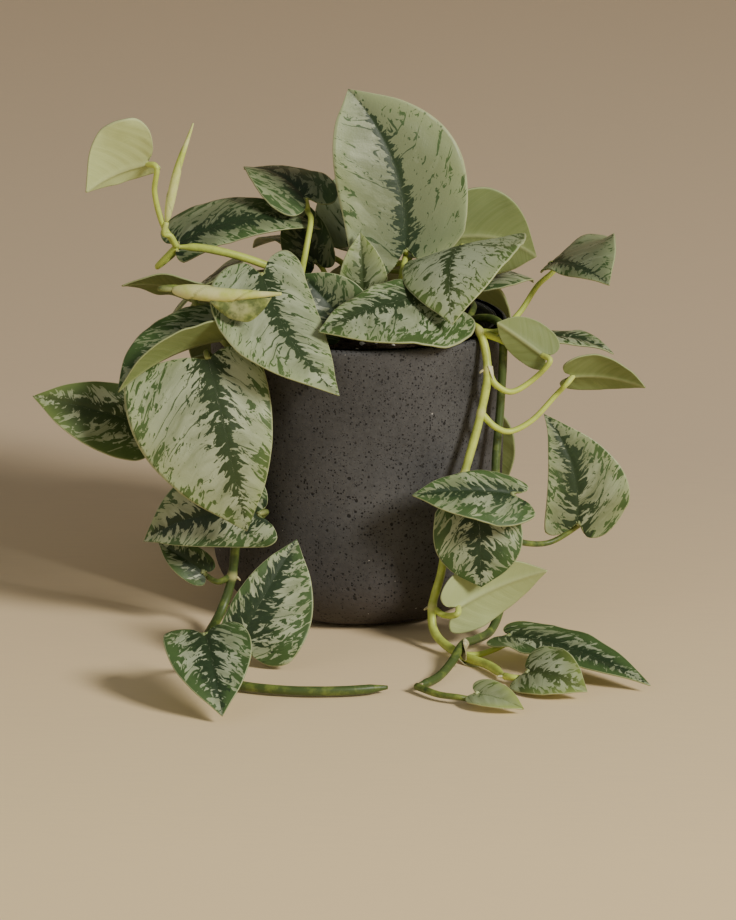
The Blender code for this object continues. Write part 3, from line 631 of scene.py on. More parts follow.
def blade_point(leaf, across, along):
    """A point of the blade's middle surface, in millimetres, as on the solid that it stands for."""
    length, right, ahead, up = leaf_axes(leaf)
    half = on_side(leaf.width, across)
    side = -1.0 if across < 0 else 1.0
    d, v = blade_spot(leaf, across, along)
    lift = math.radians(leaf.fold + leaf.twist * (v - 0.5) * side)
    ripple = leaf.wave * math.sin(2.0 * math.pi * (RIPPLES * along + RIPPLE_SHIFT * side))
    height = half * (d * math.sin(lift) + (leaf.cup + ripple) * d * d)
    sideways = side * half * d * math.cos(lift) + 4.0 * leaf.sweep * length * v * (1.0 - v)
    rise = 4.0 * leaf.arch * length * v * (1.0 - v)
    slope = math.atan(4.0 * leaf.arch * (1.0 - 2.0 * v))
    ahead_part = v * length - height * math.sin(slope)
    up_part = rise + height * math.cos(slope)
    return Vector(leaf.base) + right * sideways + ahead * ahead_part + up * up_part


def add_grid(name, columns, rows):
    """A flat grid from -1 to 1 both ways, the start of every blade and stem."""
    deselect()
    bpy.ops.mesh.primitive_grid_add(x_subdivisions=columns, y_subdivisions=rows, size=2.0)
    obj = bpy.context.object
    obj.name = name
    return obj


def apply_modifier(obj, kind, **values):
    """Add a modifier with its settings and apply it."""
    modifier = obj.modifiers.new(kind.lower(), kind)
    for key, value in values.items():
        setattr(modifier, key, value)
    bpy.context.view_layer.objects.active = obj
    bpy.ops.object.modifier_apply(modifier=modifier.name)


def in_edit_mode(obj, *steps):
    """Run edit steps on everything in the mesh."""
    bpy.context.view_layer.objects.active = obj
    obj.select_set(True)
    bpy.ops.object.mode_set(mode="EDIT")
    bpy.ops.mesh.select_all(action="SELECT")
    for step in steps:
        step()
    bpy.ops.object.mode_set(mode="OBJECT")


def write_attribute(obj, name, values):
    """Store one vector at every vertex."""
    attribute = obj.data.attributes.new(name, "FLOAT_VECTOR", "POINT")
    attribute.data.foreach_set("vector", [part for value in values for part in value])


def finish_piece(obj, nodes):
    """Shade smooth, ride with the plant and stand for the solids, which are hidden."""
    obj.data.shade_smooth()
    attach(obj, BODY)
    if nodes:
        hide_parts(*nodes)


def hump(distance, width, power=2):
    """1 at no distance, and next to nothing past about twice the width."""
    return math.exp(-(distance / width) ** power)


def run_length(route):
    """Length of a route, from point to point."""
    return sum((b - a).length for a, b in zip(route, route[1:]))


def make_blade(leaf, number, look, sizes, mats):
    """A leaf blade with its groove, ribs, quilted surface and slightly uneven edge."""
    obj = add_grid(leaf.name + "_blade", sizes.columns, sizes.rows)
    mesh = obj.data
    length, _, _, up = leaf_axes(leaf)
    seed = SEED_STEP * number
    rows = []
    for vert in mesh.vertices:
        across, along = vert.co.x, 0.5 * (vert.co.y + 1.0)
        half = on_side(leaf.width, across)
        d, v = blade_spot(leaf, across, along)
        out, ahead = half * d, length * v
        uneven = 0.0
        for k, (height, wave) in enumerate(UNEVENNESS):
            spot = Vector((across * half / wave, ahead / wave, seed + 2.0 * k))
            uneven += height * noise.noise(spot) * d ** k
        shape = blade_point(leaf, across, along) + up * uneven * d * d
        vein = ahead - (VEIN_LEAN[0] + VEIN_LEAN[1] * d) * out
        wide = look.band * (BAND_AT_NOTCH - BAND_NARROWS * v) if v > 0 else look.band
        # Painted shade: the last vector holds the silver's dullness with painted shade and painted
        # light, darker on the right half and lighter on the left.
        rows.append((
            shape * MM, (out, vein, seed + (SEED_OTHER_HALF if across < 0 else 0.0)),
            (abs(across), v, out / wide), (look.silver, look.youth, look.edge),
            (look.dull + look.lean * across, 0.0, 0.0)))
    shapes, *marks = zip(*rows)
    for vert, shape in zip(mesh.vertices, shapes):
        vert.co = shape if vert.co.y > -0.999 else Vector(leaf.base) * MM
    for name, values in zip(("vein", "place", "tone", "dull"), marks):
        write_attribute(obj, name, values)
    for mat in mats:
        mesh.materials.append(mat)
    in_edit_mode(obj, lambda: bpy.ops.mesh.remove_doubles(threshold=0.001 * MM))
    apply_modifier(
        obj, "SOLIDIFY", thickness=sizes.thickness, offset=0.0, material_offset=1,
        material_offset_rim=1)
    shape_faces(obj, sizes)
    finish_piece(obj, [leaf.name])


def shape_faces(obj, sizes):
    """Sink the midrib above, raise it below, and swell the blade between its side veins."""
    mesh = obj.data
    veins, places = mesh.attributes["vein"].data, mesh.attributes["place"].data
    above, below = (
        {index for face in mesh.polygons if face.material_index == side for index in face.vertices}
        for side in (0, 1))
    normals = [vert.normal.copy() for vert in mesh.vertices]
    for index, vert in enumerate(mesh.vertices):
        (out, vein, _), (edge, v, _) = veins[index].vector, places[index].vector
        fade = max(0.0, 1.0 - v) ** 0.5 if v > 0 else 1.0
        middle = hump(out, MIDRIB) * fade
        swell = math.cos(2.0 * math.pi * vein * MM / sizes.vein_gap) * min(1.0, out / QUILT_FROM)
        swell *= 0.5 * sizes.quilt * (1.0 - edge ** 6) * fade
        if index in above:
            vert.co -= normals[index] * (sizes.groove * middle + swell)
        elif index in below:
            vert.co += normals[index] * (sizes.rib * middle + swell)


def line_frames(points):
    """At each point, the two directions across the line, carried along without twist."""
    frames = []
    last = len(points) - 1
    side = None
    for i in range(last + 1):
        ahead = (points[min(i + 1, last)] - points[max(i - 1, 0)]).normalized()
        if side is None:
            side = ahead.orthogonal()
        side = (side - side.dot(ahead) * ahead).normalized()
        frames.append((side, ahead.cross(side)))
    return frames


def off_line(points, frames, i, angle, radius):
    """A point beside a line, in metres."""
    side, other = frames[i]
    return (points[i] + (side * math.cos(angle) + other * math.sin(angle)) * radius) * MM


def make_tube(name, points, radii, sides, section=None):
    """A closed tube through the points, both in millimetres. section(angle, i) scales the radius."""
    last = len(points) - 1
    obj = add_grid(name, sides, last)
    frames = line_frames(points)
    for vert in obj.data.vertices:
        i = round(0.5 * (vert.co.y + 1.0) * last)
        angle = math.pi * (vert.co.x + 1.0)
        radius = radii[i] * (section(angle, i) if section else 1.0)
        vert.co = off_line(points, frames, i, angle, radius)
    write_attribute(obj, "run", [
        (i // (sides + 1), (i % (sides + 1)) / sides, 0.0) for i in range(len(obj.data.vertices))])
    in_edit_mode(
        obj, lambda: bpy.ops.mesh.remove_doubles(threshold=0.0001 * MM),
        lambda: bpy.ops.mesh.fill_holes(sides=0),
        lambda: bpy.ops.mesh.normals_make_consistent(inside=False))
    return obj


def sample_route(route, step):
    """Points about one step apart along a smooth route."""
    parts = max(4, round(run_length(route) / step))
    return [along_spline(route, k / parts) for k in range(parts + 1)]


def mark_growth(obj, rings, age_and_shade, paper=0.0, seam=None):
    """Store at each vertex its ring, the stem's age with its painted shade, and how papery it is.

    rings has one number for each row of the tube, and seam(row, turn) adds a line that winds.
    """
    values = []
    for item in obj.data.attributes["run"].data:
        row = min(round(item.vector[0]), len(rings) - 1)
        line = seam(row, item.vector[1]) if seam else 0.0
        values.append((rings[row] + line, age_and_shade, paper))
    obj.data.attributes.remove(obj.data.attributes["run"])
    write_attribute(obj, "growth", values)


def stem_route(stem):
    """The stem's route with one more point in the soil, which keeps its foot straight."""
    foot, surface = Vector(stem.route[0]), Vector(stem.route[1])
    return [foot, foot.lerp(surface, STRAIGHT_FOOT)] + [Vector(p) for p in stem.route[1:]]


def knee(leaf):
    """Where a stalk bends up to the blade: behind its notch and below it."""
    ahead, up = leaf_axes(leaf)[2:]
    return Vector(leaf.base) - ahead * KNEE_BEHIND - up * KNEE_BELOW


def make_main_stem(stem, joints, sizes):
    """The stem itself, with a swollen pale ring at every leaf and a rounded end."""
    points = sample_route(stem_route(stem), sizes.step / MM)
    knots = [Vector(stem.route[joint]) for joint in joints]
    radii, rings = [], []
    last = len(points) - 1
    for i, point in enumerate(points):
        near = min([(point - knot).length for knot in knots] or [NO_KNOT])
        waist = STEM_UNEVEN * hump(near - WAIST_FROM_RING, WAIST)
        uneven = STEM_UNEVEN * noise.noise(point / STEM_WAVE)
        end = min(1.0, BLUNT_END + (last - i) / END_ROWS)
        radii.append(stem.radius * (1.0 + sizes.swell * hump(near, RING) - waist + uneven) * end)
        rings.append(hump(near, PALE_RING, 4))
    obj = make_tube(
        stem.name + "_growth", points, radii, sizes.sides,
        lambda angle, i: 1.0 + 0.035 * math.cos(2.0 * angle + 0.02 * i))
    mark_growth(obj, rings, STEM_AGES_AND_SHADE[stem.name])
    return obj


def make_stalk(grown, stem, sizes):
    """A leaf stalk: it clasps the stem, narrows, and thickens a little at the knee by the blade."""
    bends = [Vector(p) for p in grown.stalk]
    if isinstance(grown, Leaf):
        target = Vector(grown.base)
        bends.append(knee(grown))
    else:
        target = Vector(grown.run[0])
        bends.append(target + (target - Vector(grown.run[1])).normalized() * KNEE_BELOW)
    route = [Vector(stem.route[grown.joint])] + bends + [target]
    points = sample_route(route, sizes.step / MM)
    radii, rings = [], []
    for i, point in enumerate(points):
        share = i / (len(points) - 1)
        radius = STALK_TOP + (STALK_FOOT * stem.radius - STALK_TOP) * (1.0 - share) ** 2
        to_end = (points[-1] - point).length
        radii.append(radius + KNEE_SWELL * hump(to_end - KNEE_SWELL_FROM, KNEE_SWELL_LENGTH))
        rings.append(0.6 * hump(to_end, PALE_TOP))
    obj = make_tube(
        grown.name + "_stalk", points, radii, STALK_SIDES,
        lambda angle, i: 1.0 - 0.12 * max(0.0, math.cos(angle)) ** 3)
    mark_growth(obj, rings, max(0.0, STEM_AGES_AND_SHADE[stem.name] - STALK_YOUNGER))
    return obj


def make_sheath(stem, sheath, number):
    """A dried scale leaf at a joint: it wraps the stem, narrows to a point and bends away."""
    obj = add_grid(f"{stem.name}_sheath_{number}", 10, SHEATH_ROWS)
    route = [Vector(p) for p in stem.route]
    start = sheath.joint / (len(route) - 1)
    step = sheath.length / run_length(route)
    points = [along_spline(route, start + (k / SHEATH_ROWS - SHEATH_BEHIND) * step)
              for k in range(SHEATH_ROWS + 1)]
    frames = line_frames(points)
    turn = math.radians(sheath.turn)
    for vert in obj.data.vertices:
        share = 0.5 * (vert.co.y + 1.0)
        angle = turn + vert.co.x * math.radians(SHEATH_WRAP) * (1.0 - share) ** 0.7
        lift = stem.radius + SHEATH_SKIN + sheath.lift * share ** 2
        lift += 0.25 * noise.noise(Vector((vert.co.x * 2.0, share * 4.0, number + 0.5)))
        vert.co = off_line(points, frames, round(share * SHEATH_ROWS), angle, lift)
    write_attribute(obj, "growth", [(0.0, 0.0, sheath.paper)] * len(obj.data.vertices))
    in_edit_mode(obj, lambda: bpy.ops.mesh.remove_doubles(threshold=0.001 * MM))
    apply_modifier(obj, "SOLIDIFY", thickness=SHEATH_SKIN * MM, offset=0.0)
    return obj


def make_nub(stem, joint, number):
    """The start of an air root: a blunt brown peg on a joint."""
    route = [Vector(p) for p in stem.route]
    foot = route[joint]
    ahead = (route[min(joint + 1, len(route) - 1)] - route[joint - 1]).normalized()
    side = ahead.cross(Vector((0.3, -0.5, 0.9))).normalized() * (1.0 if number % 2 else -1.0)
    droop = NUB_DROOP
    if foot.z < LYING_BELOW:
        side.z = abs(side.z)
        droop = 0.0
    points = [foot + side * (0.5 * stem.radius + NUB_STEP * k) - UP * (droop * k * k)
              for k in range(len(NUB_RADII))]
    obj = make_tube(f"{stem.name}_nub_{number}", points, NUB_RADII, 8)
    mark_growth(obj, [0.0] * len(NUB_RADII), 0.6, 1.0)
    return obj


def above_ground(height):
    """A height in metres, squeezed so that it stays above the surface that the pot stands on."""
    soft = 0.8 * MM
    return height if height > soft else soft * math.exp(height / soft - 1.0)


def make_stem(stem, sizes, mat):
    """A stem with its leaf stalks, sheaths and root nubs as one piece."""
    grown = [g for g in LEAVES + ROLLED_LEAVES if g.stem == stem.name]
    joints = sorted({g.joint for g in grown})
    pieces = [make_main_stem(stem, joints, sizes)] + [make_stalk(g, stem, sizes) for g in grown]
    own_sheaths = [sheath for sheath in SHEATHS if sheath.stem == stem.name]
    pieces += [make_sheath(stem, sheath, number) for number, sheath in enumerate(own_sheaths)]
    if stem.name.endswith("_vine"):
        pieces += [make_nub(stem, joint, n) for n, joint in enumerate(joints) if joint > 3]
    body = join(pieces)
    for vert in body.data.vertices:
        vert.co.z = above_ground(vert.co.z)
    body.data.materials.append(mat)
    finish_piece(body, [stem.name])


def make_flap(flap, mat):
    """The part of a new leaf that has come loose from its roll and hangs down."""
    obj = add_grid(flap.name, 24, 16)
    run = [Vector(p) for p in flap.edge]
    point = Vector(flap.point)
    fall = point - along_spline(run, 0.55)
    for vert in obj.data.vertices:
        along, down = 0.5 * (vert.co.x + 1.0), 0.5 * (vert.co.y + 1.0)
        drop = (4.0 * along * (1.0 - along)) ** 0.6
        toward = along_spline(run, along) + fall * down * drop
        toward = toward.lerp(point, 0.45 * down * down * drop)
        toward += Vector((0.0, -FLAP_BELLY, 0.0)) * math.sin(math.pi * down) * drop
        toward += UP * 0.8 * noise.noise(Vector((along * 4.0, down * 2.0, 0.4)))
        vert.co = toward * MM
    write_attribute(obj, "growth", [(0.0, 1.0, 0.0)] * len(obj.data.vertices))
    apply_modifier(obj, "SOLIDIFY", thickness=FLAP_SKIN * MM, offset=0.0)
    obj.data.materials.append(mat)
    finish_piece(obj, [])


def make_rolled_leaf(roll, mat):
    """A new leaf rolled into a spindle, its free edge winding along it as a small step."""
    points = sample_route([Vector(p) for p in roll.run], ROLL_STEP)
    last = len(points) - 1
    radii = [roll.radius * (0.18 + 0.82 * math.sin(math.pi * (i / last) ** 0.55))
             for i in range(last + 1)]
    obj = make_tube(
        roll.name + "_roll", points, radii, 32,
        lambda angle, i: 0.9 + 0.16 * ((angle / (2.0 * math.pi) + WINDING * i) % 1.0))
    mark_growth(obj, [0.0] * (last + 1), 0.0, 0.0, lambda row, turn: float(
        (turn + WINDING * row + 0.03) % 1.0 < SEAM))
    obj.data.materials.append(mat)
    finish_piece(obj, [roll.name])


def blade_top_material(look):
    """Living leaf of satin pothos, upper side.

    Air pockets under its skin scatter light, which gives silver satin patches. Between them the
    green flesh shows: a dark band along the midrib with jagged sides, thin lines over some side
    veins, and patches that crowd towards the edge.
    """
    mat, add = new_material("Satin pothos leaf, upper side", IOR=1.42)
    vein, line = stored(add, "vein")
    across, ahead, outward = stored(add, "place")[1]
    silvery, youth, rim = stored(add, "tone")[1]
    dull = stored(add, "dull")[1][0]
    # The vein's own place is bent first, so that no pattern runs dead straight.
    bend = veined(add, vein, (0.09, 0.09), 1.0, out="Color")
    vein = add("VectorMath MULTIPLY_ADD", bend, (9.0, 9.0, 0.0), vein)
    edge = add("Math POWER", across, 3.0)
    # The band's sides: jags about 2 mm wide that run out along the side veins.
    jags = veined(add, vein, (0.14, 0.36), 3.5, 0.6, 0.25)
    tip_fade = add("MapRange", ahead, 0.72, 0.97, 0.0, 1.3)
    reach = add("Math ADD", add("Math MULTIPLY_ADD", jags, -6.0, outward), tip_fade)
    band = add("MapRange", reach, -2.2, -2.05, 1.0, 0.0)
    # Patches between the veins: small flecks on a silvery leaf, broad ragged ones on a green leaf.
    grain = add("MapRange", silvery, 0.3, 0.95, 0.5, 1.0)
    spots = veined(add, vein, (0.32, 0.34), 3.0, 0.55, 0.9, (3, 9, 4), grain)
    crowd = veined(add, vein, (0.07, 0.09), 1.0, shift=(8, 2, 7))
    share = add("Math MULTIPLY_ADD", crowd, 0.45, spots)
    share = add("Math MULTIPLY_ADD", add("Math MULTIPLY", edge, rim), 0.22, share)
    limit = add("MapRange", silvery, 0.0, 1.0, 0.62, 0.88)
    patch = add("MapRange", add("Math SUBTRACT", share, limit), 0.0, 0.03)
    # Thin lines over a third of the side veins, which lie 6.5 mm apart, each with its own length.
    course = add("Math MULTIPLY_ADD", line[1], 1.0 / 6.5, add("Math MULTIPLY", crowd, 2.2))
    number = add("Math FLOOR", course)
    chance = add("TexWhiteNoise", add("CombineXYZ", number, line[2]))
    off = add("Math SUBTRACT", add("Math SUBTRACT", course, number), 0.5)
    short = add("MapRange", add("Math SUBTRACT", across, chance), -0.1, 0.05, 1.0, 0.0)
    wide = add("Math MULTIPLY", add("MapRange", jags, 0.35, 0.65, 0.02, 0.12), short)
    beside = add("Math SUBTRACT", add("Math ABSOLUTE", off), wide)
    thread = add("Math MULTIPLY", add("MapRange", beside, -0.015, 0.015, 1.0, 0.0),
                 add("Math GREATER_THAN", chance, 0.66))
    green = add("Math MAXIMUM", add("Math MAXIMUM", band, patch), thread)
    satin = add("MapRange", veined(add, vein, (0.12, 0.3), 6.0, 0.7), 0.32, 0.68)
    broad = veined(add, vein, (0.05, 0.09), 2.0, shift=(1, 6, 3))
    # The silver darkens at random and by each leaf's stored dullness, which also carries painted shade
    # and painted light.
    silver_dulling_and_painted_shade = add("Math ADD", add("MapRange", broad, 0.35, 0.65, -0.35, 0.35),
                 add("Math MULTIPLY_ADD", satin, 0.5, dull), use_clamp=True)
    silver = add("Mix RGBA", silver_dulling_and_painted_shade, look.silver, look.satin)
    silver = add("Mix RGBA", add("Math MULTIPLY", edge, 0.7), silver, look.silver_edge)
    deep = add("Math MAXIMUM", add("MapRange", across, 0.2, 0.8, 1.0, 0.0), band)
    tint = veined(add, vein, (0.5, 0.9), 4.0, 0.7, shift=(5, 1, 2))
    deep = add("Math MULTIPLY_ADD", add("Math SUBTRACT", tint, 0.5), 1.2, deep, use_clamp=True)
    surface = add("Mix RGBA", green, silver, add("Mix RGBA", deep, look.green, look.dark))
    # A young leaf is yellow-green, most of all at its tip and edge.
    young = add("MapRange", add("Math MULTIPLY_ADD", edge, 0.6, ahead), 0.5, 1.3)
    young = add("Math MULTIPLY_ADD", young, youth, add("Math MULTIPLY", youth, 0.3))
    young = add("Math MULTIPLY", young, 0.75, use_clamp=True)
    surface = add("Mix RGBA", young, surface, look.lime)
    margin = add("MapRange", across, 0.972, 0.99, 0.0, 0.8)
    skin = add("TexNoise", add("TexCoord", out="Object"), 900.0, 3.0)
    shade(mat, Base_Color=add("Mix RGBA", margin, surface, look.margin),
          Roughness=add("MapRange", green, 0.0, 1.0, 0.42, 0.5),
          Normal=add("Bump", 0.35, 0.25 * MM, None, add("Math MULTIPLY_ADD", satin, 0.6, skin)))
    return mat


def blade_under_material(look):
    """Living leaf, underside: plain, pale and matt, with its ribs a little lighter."""
    mat, add = new_material("Satin pothos leaf, underside", IOR=1.4, Roughness=0.6)
    vein, line = stored(add, "vein")
    across = stored(add, "place")[1][0]
    youth = stored(add, "tone")[1][1]
    ribs = add("MapRange", veined(add, vein, (0.02, 0.45), 5.0, 0.6), 0.35, 0.65)
    base = add("Mix RGBA", youth, look.under, look.under_new)
    for paler in (add("Math MULTIPLY", ribs, 0.12), add("MapRange", across, 0.972, 0.99, 0.0, 0.5),
                  add("MapRange", line[0], 0.4, 1.4, 0.35, 0.0)):
        base = add("Mix RGBA", paler, base, look.margin)
    shade(mat, Base_Color=base, Normal=add("Bump", 0.2, 0.3 * MM, None, ribs))
    return mat


def stem_material(look):
    """Living stem: smooth waxy skin with fine long streaks, yellow-green when young."""
    mat, add = new_material("Pothos stem", IOR=1.42, Roughness=0.42)
    ring, age_and_shade, paper = stored(add, "growth")[1]
    place = add("TexCoord", out="Object")
    streak = add("MapRange", add("TexNoise", place, 130.0, 5.0, 0.65), 0.3, 0.7, -0.3, 0.3)
    # The stem darkens with age, and on two vines also as painted shade.
    skin = add("Mix RGBA", add("Math ADD", age_and_shade, streak, use_clamp=True), look.young, look.old)
    skin = add("Mix RGBA", add("Math MULTIPLY", ring, 0.6), skin, look.ring)
    brown = add("MapRange", add("TexNoise", place, 260.0, 4.0, 0.7), 0.4, 0.62)
    dry = add("Mix RGBA", brown, look.sheath, look.root)
    skin = add("Mix RGBA", add("MapRange", paper, 0.0, 0.5), skin, look.sheath)
    skin = add("Mix RGBA", add("MapRange", paper, 0.6, 1.0), skin, dry)
    shade(mat, Base_Color=skin,
          Normal=add("Bump", 0.25, 0.3 * MM, None, add("TexNoise", place, 700.0, 3.0)))
    return mat


def rolled_material(look):
    """New leaf still rolled: cream and yellow-green, matt and tender."""
    mat, add = new_material("Rolled new leaf", IOR=1.4, Roughness=0.5)
    place = add("TexCoord", out="Object")
    seam, greened, _ = stored(add, "growth")[1]
    patch = add("MapRange", add("TexNoise", place, 90.0, 4.0, 0.6), 0.4, 0.7)
    skin = add("Mix RGBA", patch, look.rolled, look.young)
    blotch = add("MapRange", add("TexNoise", place, 170.0, 3.0, 0.6), 0.4, 0.6, 0.5, 0.9)
    skin = add("Mix RGBA", add("Math MULTIPLY", blotch, greened), skin, look.old)
    skin = add("Mix RGBA", add("Math MULTIPLY", seam, 0.4), skin, look.old)
    shade(mat, Base_Color=skin, Normal=add("Bump", 0.3, 0.3 * MM, None, patch))
    return mat


def pores(add, place, spacing, share, size):
    """Round holes scattered at a spacing: 1 inside them. share is how many cells have one."""
    far, cell = add("TexVoronoi", place, 1.0 / spacing, out="all")[:2]
    reach = add("MapRange", add("SeparateXYZ", cell), 1.0 - share, 1.0, 0.0, size)
    return add("MapRange", add("Math SUBTRACT", reach, far), 0.0, 0.07)


def pot_material(look):
    """Cast lava-grit concrete: matt charcoal, open pores from trapped air, a few pale grains."""
    mat, add = new_material("Cast lava concrete", IOR=1.5)
    place = add("TexCoord", out="Object")
    broad = add("TexNoise", place, 22.0, 3.0)
    grain = add("TexNoise", place, 1300.0, 3.0, 0.7)
    mottle = add("Math MULTIPLY_ADD", add("TexNoise", place, 420.0, 3.0, 0.7), 0.7, broad)
    tint = add("MapRange", add("Math MULTIPLY_ADD", grain, 0.6, mottle), 0.9, 1.35)
    base = add("Mix RGBA", tint, look.shade, look.stone)
    # The pot turns darker and browner within 50 mm of its bottom.
    low = add("MapRange", add("SeparateXYZ", place, out="Z"), 0.0, 50.0 * MM, 0.9, 0.0)
    base = add("Mix RGBA", add("Math MULTIPLY", low, broad), base, look.low_brown)
    # Noise pushes the pores' outlines about by half a millimetre, and they crowd in some areas.
    push = add("TexNoise", place, 700.0, out="Color")
    wobble = add("VectorMath MULTIPLY_ADD", push, (0.6 * MM, 0.6 * MM, 0.6 * MM), place)
    crowded = add("MapRange", broad, 0.36, 0.6, 0.65, 1.0)
    big = add("Math MULTIPLY", pores(add, wobble, look.pore, 0.7, 0.3), crowded)
    small = pores(add, wobble, 0.42 * look.pore, 0.85, 0.42)
    tiny = add("Math MULTIPLY", pores(add, wobble, 0.24 * look.pore, 0.6, 0.42), 0.8)
    pore_in_painted_shade = add("Math MAXIMUM", add("Math MAXIMUM", big, small), tiny)
    # Painted shade: the pores, which the mesh only dents with its bump, are painted near-black.
    base = add("Mix RGBA", pore_in_painted_shade, base, look.pore_in_painted_shade)
    grit = add("Math MULTIPLY", pores(add, place, 0.6 * look.pore, 0.05, 0.24),
               add("MapRange", broad, 0.44, 0.54))
    shade(mat, Base_Color=add("Mix RGBA", grit, base, look.speck),
          Roughness=add("MapRange", grain, 0.3, 0.7, 0.66, 0.88),
          Normal=add("Bump", 0.6, 0.25 * MM, None, add("Math MULTIPLY_ADD", pore_in_painted_shade, -4.0, grain)))
    return mat


def soil_material(look):
    """Peaty potting soil: dark and crumbly, a little paler where its crumbs have dried."""
    mat, add = new_material("Peat potting soil", Roughness=0.95, IOR=1.35)
    crumb = add("TexNoise", add("TexCoord", out="Object"), 420.0, 6.0, 0.7)
    shade(mat, Base_Color=add("Mix RGBA", add("MapRange", crumb, 0.45, 0.75), look.peat, look.dry),
          Normal=add("Bump", 1.0, 0.8 * MM, None, crumb))
    return mat


def perlite_material(look):
    """Expanded perlite: chalky white volcanic glass with fine pits."""
    mat, add = new_material("Perlite", Roughness=0.9)
    pits = add("TexNoise", add("TexCoord", out="Object"), 1500.0, 4.0)
    grey = add("MapRange", pits, 0.5, 0.8, 0.0, 0.6)
    shade(mat, Base_Color=add("Mix RGBA", grey, look.perlite, look.dry),
          Normal=add("Bump", 0.6, 0.3 * MM, None, pits))
    return mat


def backdrop_material(look):
    """Dyed linen laid as a seamless sweep, with a faint weave; its colour darkens towards the back as
    painted shade, for light that falls off with distance.
    """
    mat, add = new_material("Backdrop linen", Roughness=0.95)
    place = add("TexCoord", out="Object")
    weave = add("TexNoise", add("Mapping", place, None, None, (6.0, 90.0, 90.0)), 6.0, 4.0)
    # Painted shade: the linen darkens from its lit colour at the front to its shaded colour at the
    # back.
    tone = add("Math MULTIPLY_ADD", add("MapRange", weave, 0.3, 0.7, -1.0, 1.0), 0.05,
               add("MapRange", add("SeparateXYZ", place, out="Y"), -0.4, 0.3))
    shade(mat, Base_Color=add("Mix RGBA", tone, look.floor, look.cloth))
    return mat


def at_height(level):
    """A test for pick: whether all the corners lie at one height."""
    return lambda spots: all(abs(spot.z - level) < 0.001 * MM for spot in spots)


def pick(mesh, kind, test):
    """Select just the faces or just the edges whose corners' places pass the test."""
    bm = bmesh.from_edit_mesh(mesh)
    for item in (*bm.verts, *bm.edges, *bm.faces):
        item.select = False
    for item in getattr(bm, kind):
        if test([vert.co for vert in item.verts]):
            item.select_set(True)
    bmesh.update_edit_mesh(mesh)


class POTHOS_OT_pot(bpy.types.Operator):
    """Turn the pot: tapered wall, rounded rim and a wide rounded lower edge"""

    bl_idname = "pothos.pot"
    bl_label = "Pot"

    def execute(self, context):
        look = settings().pot
        top_radius, _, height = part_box("pot")[1]
        deselect()
        bpy.ops.mesh.primitive_cylinder_add(
            vertices=192, radius=top_radius, depth=height, location=(0, 0, 0.5 * height))
        pot = context.object
        pot.name = "stone_pot"
        bpy.ops.object.transform_apply(location=True, rotation=True, scale=True)
        mesh = pot.data
        bpy.ops.object.mode_set(mode="EDIT")
        bpy.ops.mesh.select_mode(type="FACE")
        pick(mesh, "faces", at_height(height))
        bpy.ops.mesh.inset(thickness=look.wall)
        bpy.ops.mesh.extrude_region_move(
            TRANSFORM_OT_translate={"value": (0, 0, look.floor - height)})
        bpy.ops.mesh.select_mode(type="EDGE")
        for level, radius, steps in (
                (height, look.rim, 5), (look.floor, look.inner, 8), (0.0, look.edge, 18)):
            pick(mesh, "edges", at_height(level))
            bpy.ops.mesh.bevel(offset=radius, segments=steps, affect="EDGES")
        pick(mesh, "edges", lambda ends: abs(ends[0].z - ends[1].z) > 0.5 * height)
        bpy.ops.mesh.subdivide(number_cuts=60, quadcorner="STRAIGHT_CUT")
        bpy.ops.object.mode_set(mode="OBJECT")
        taper = (top_radius - look.low_radius) / (height - look.edge)
        for vert in mesh.vertices:
            outside = math.hypot(vert.co.x, vert.co.y) > 0.5 * top_radius
            swell = POT_SWELL * MM * noise.noise(vert.co / (POT_WAVE * MM)) if outside else 0.0
            share = (1.0 - taper * (height - vert.co.z) / top_radius) * (1.0 + swell / top_radius)
            vert.co.x *= share
            vert.co.y *= share
        mesh.materials.append(pot_material(look))
        finish_piece(pot, ["pot"])
        return {"FINISHED"}


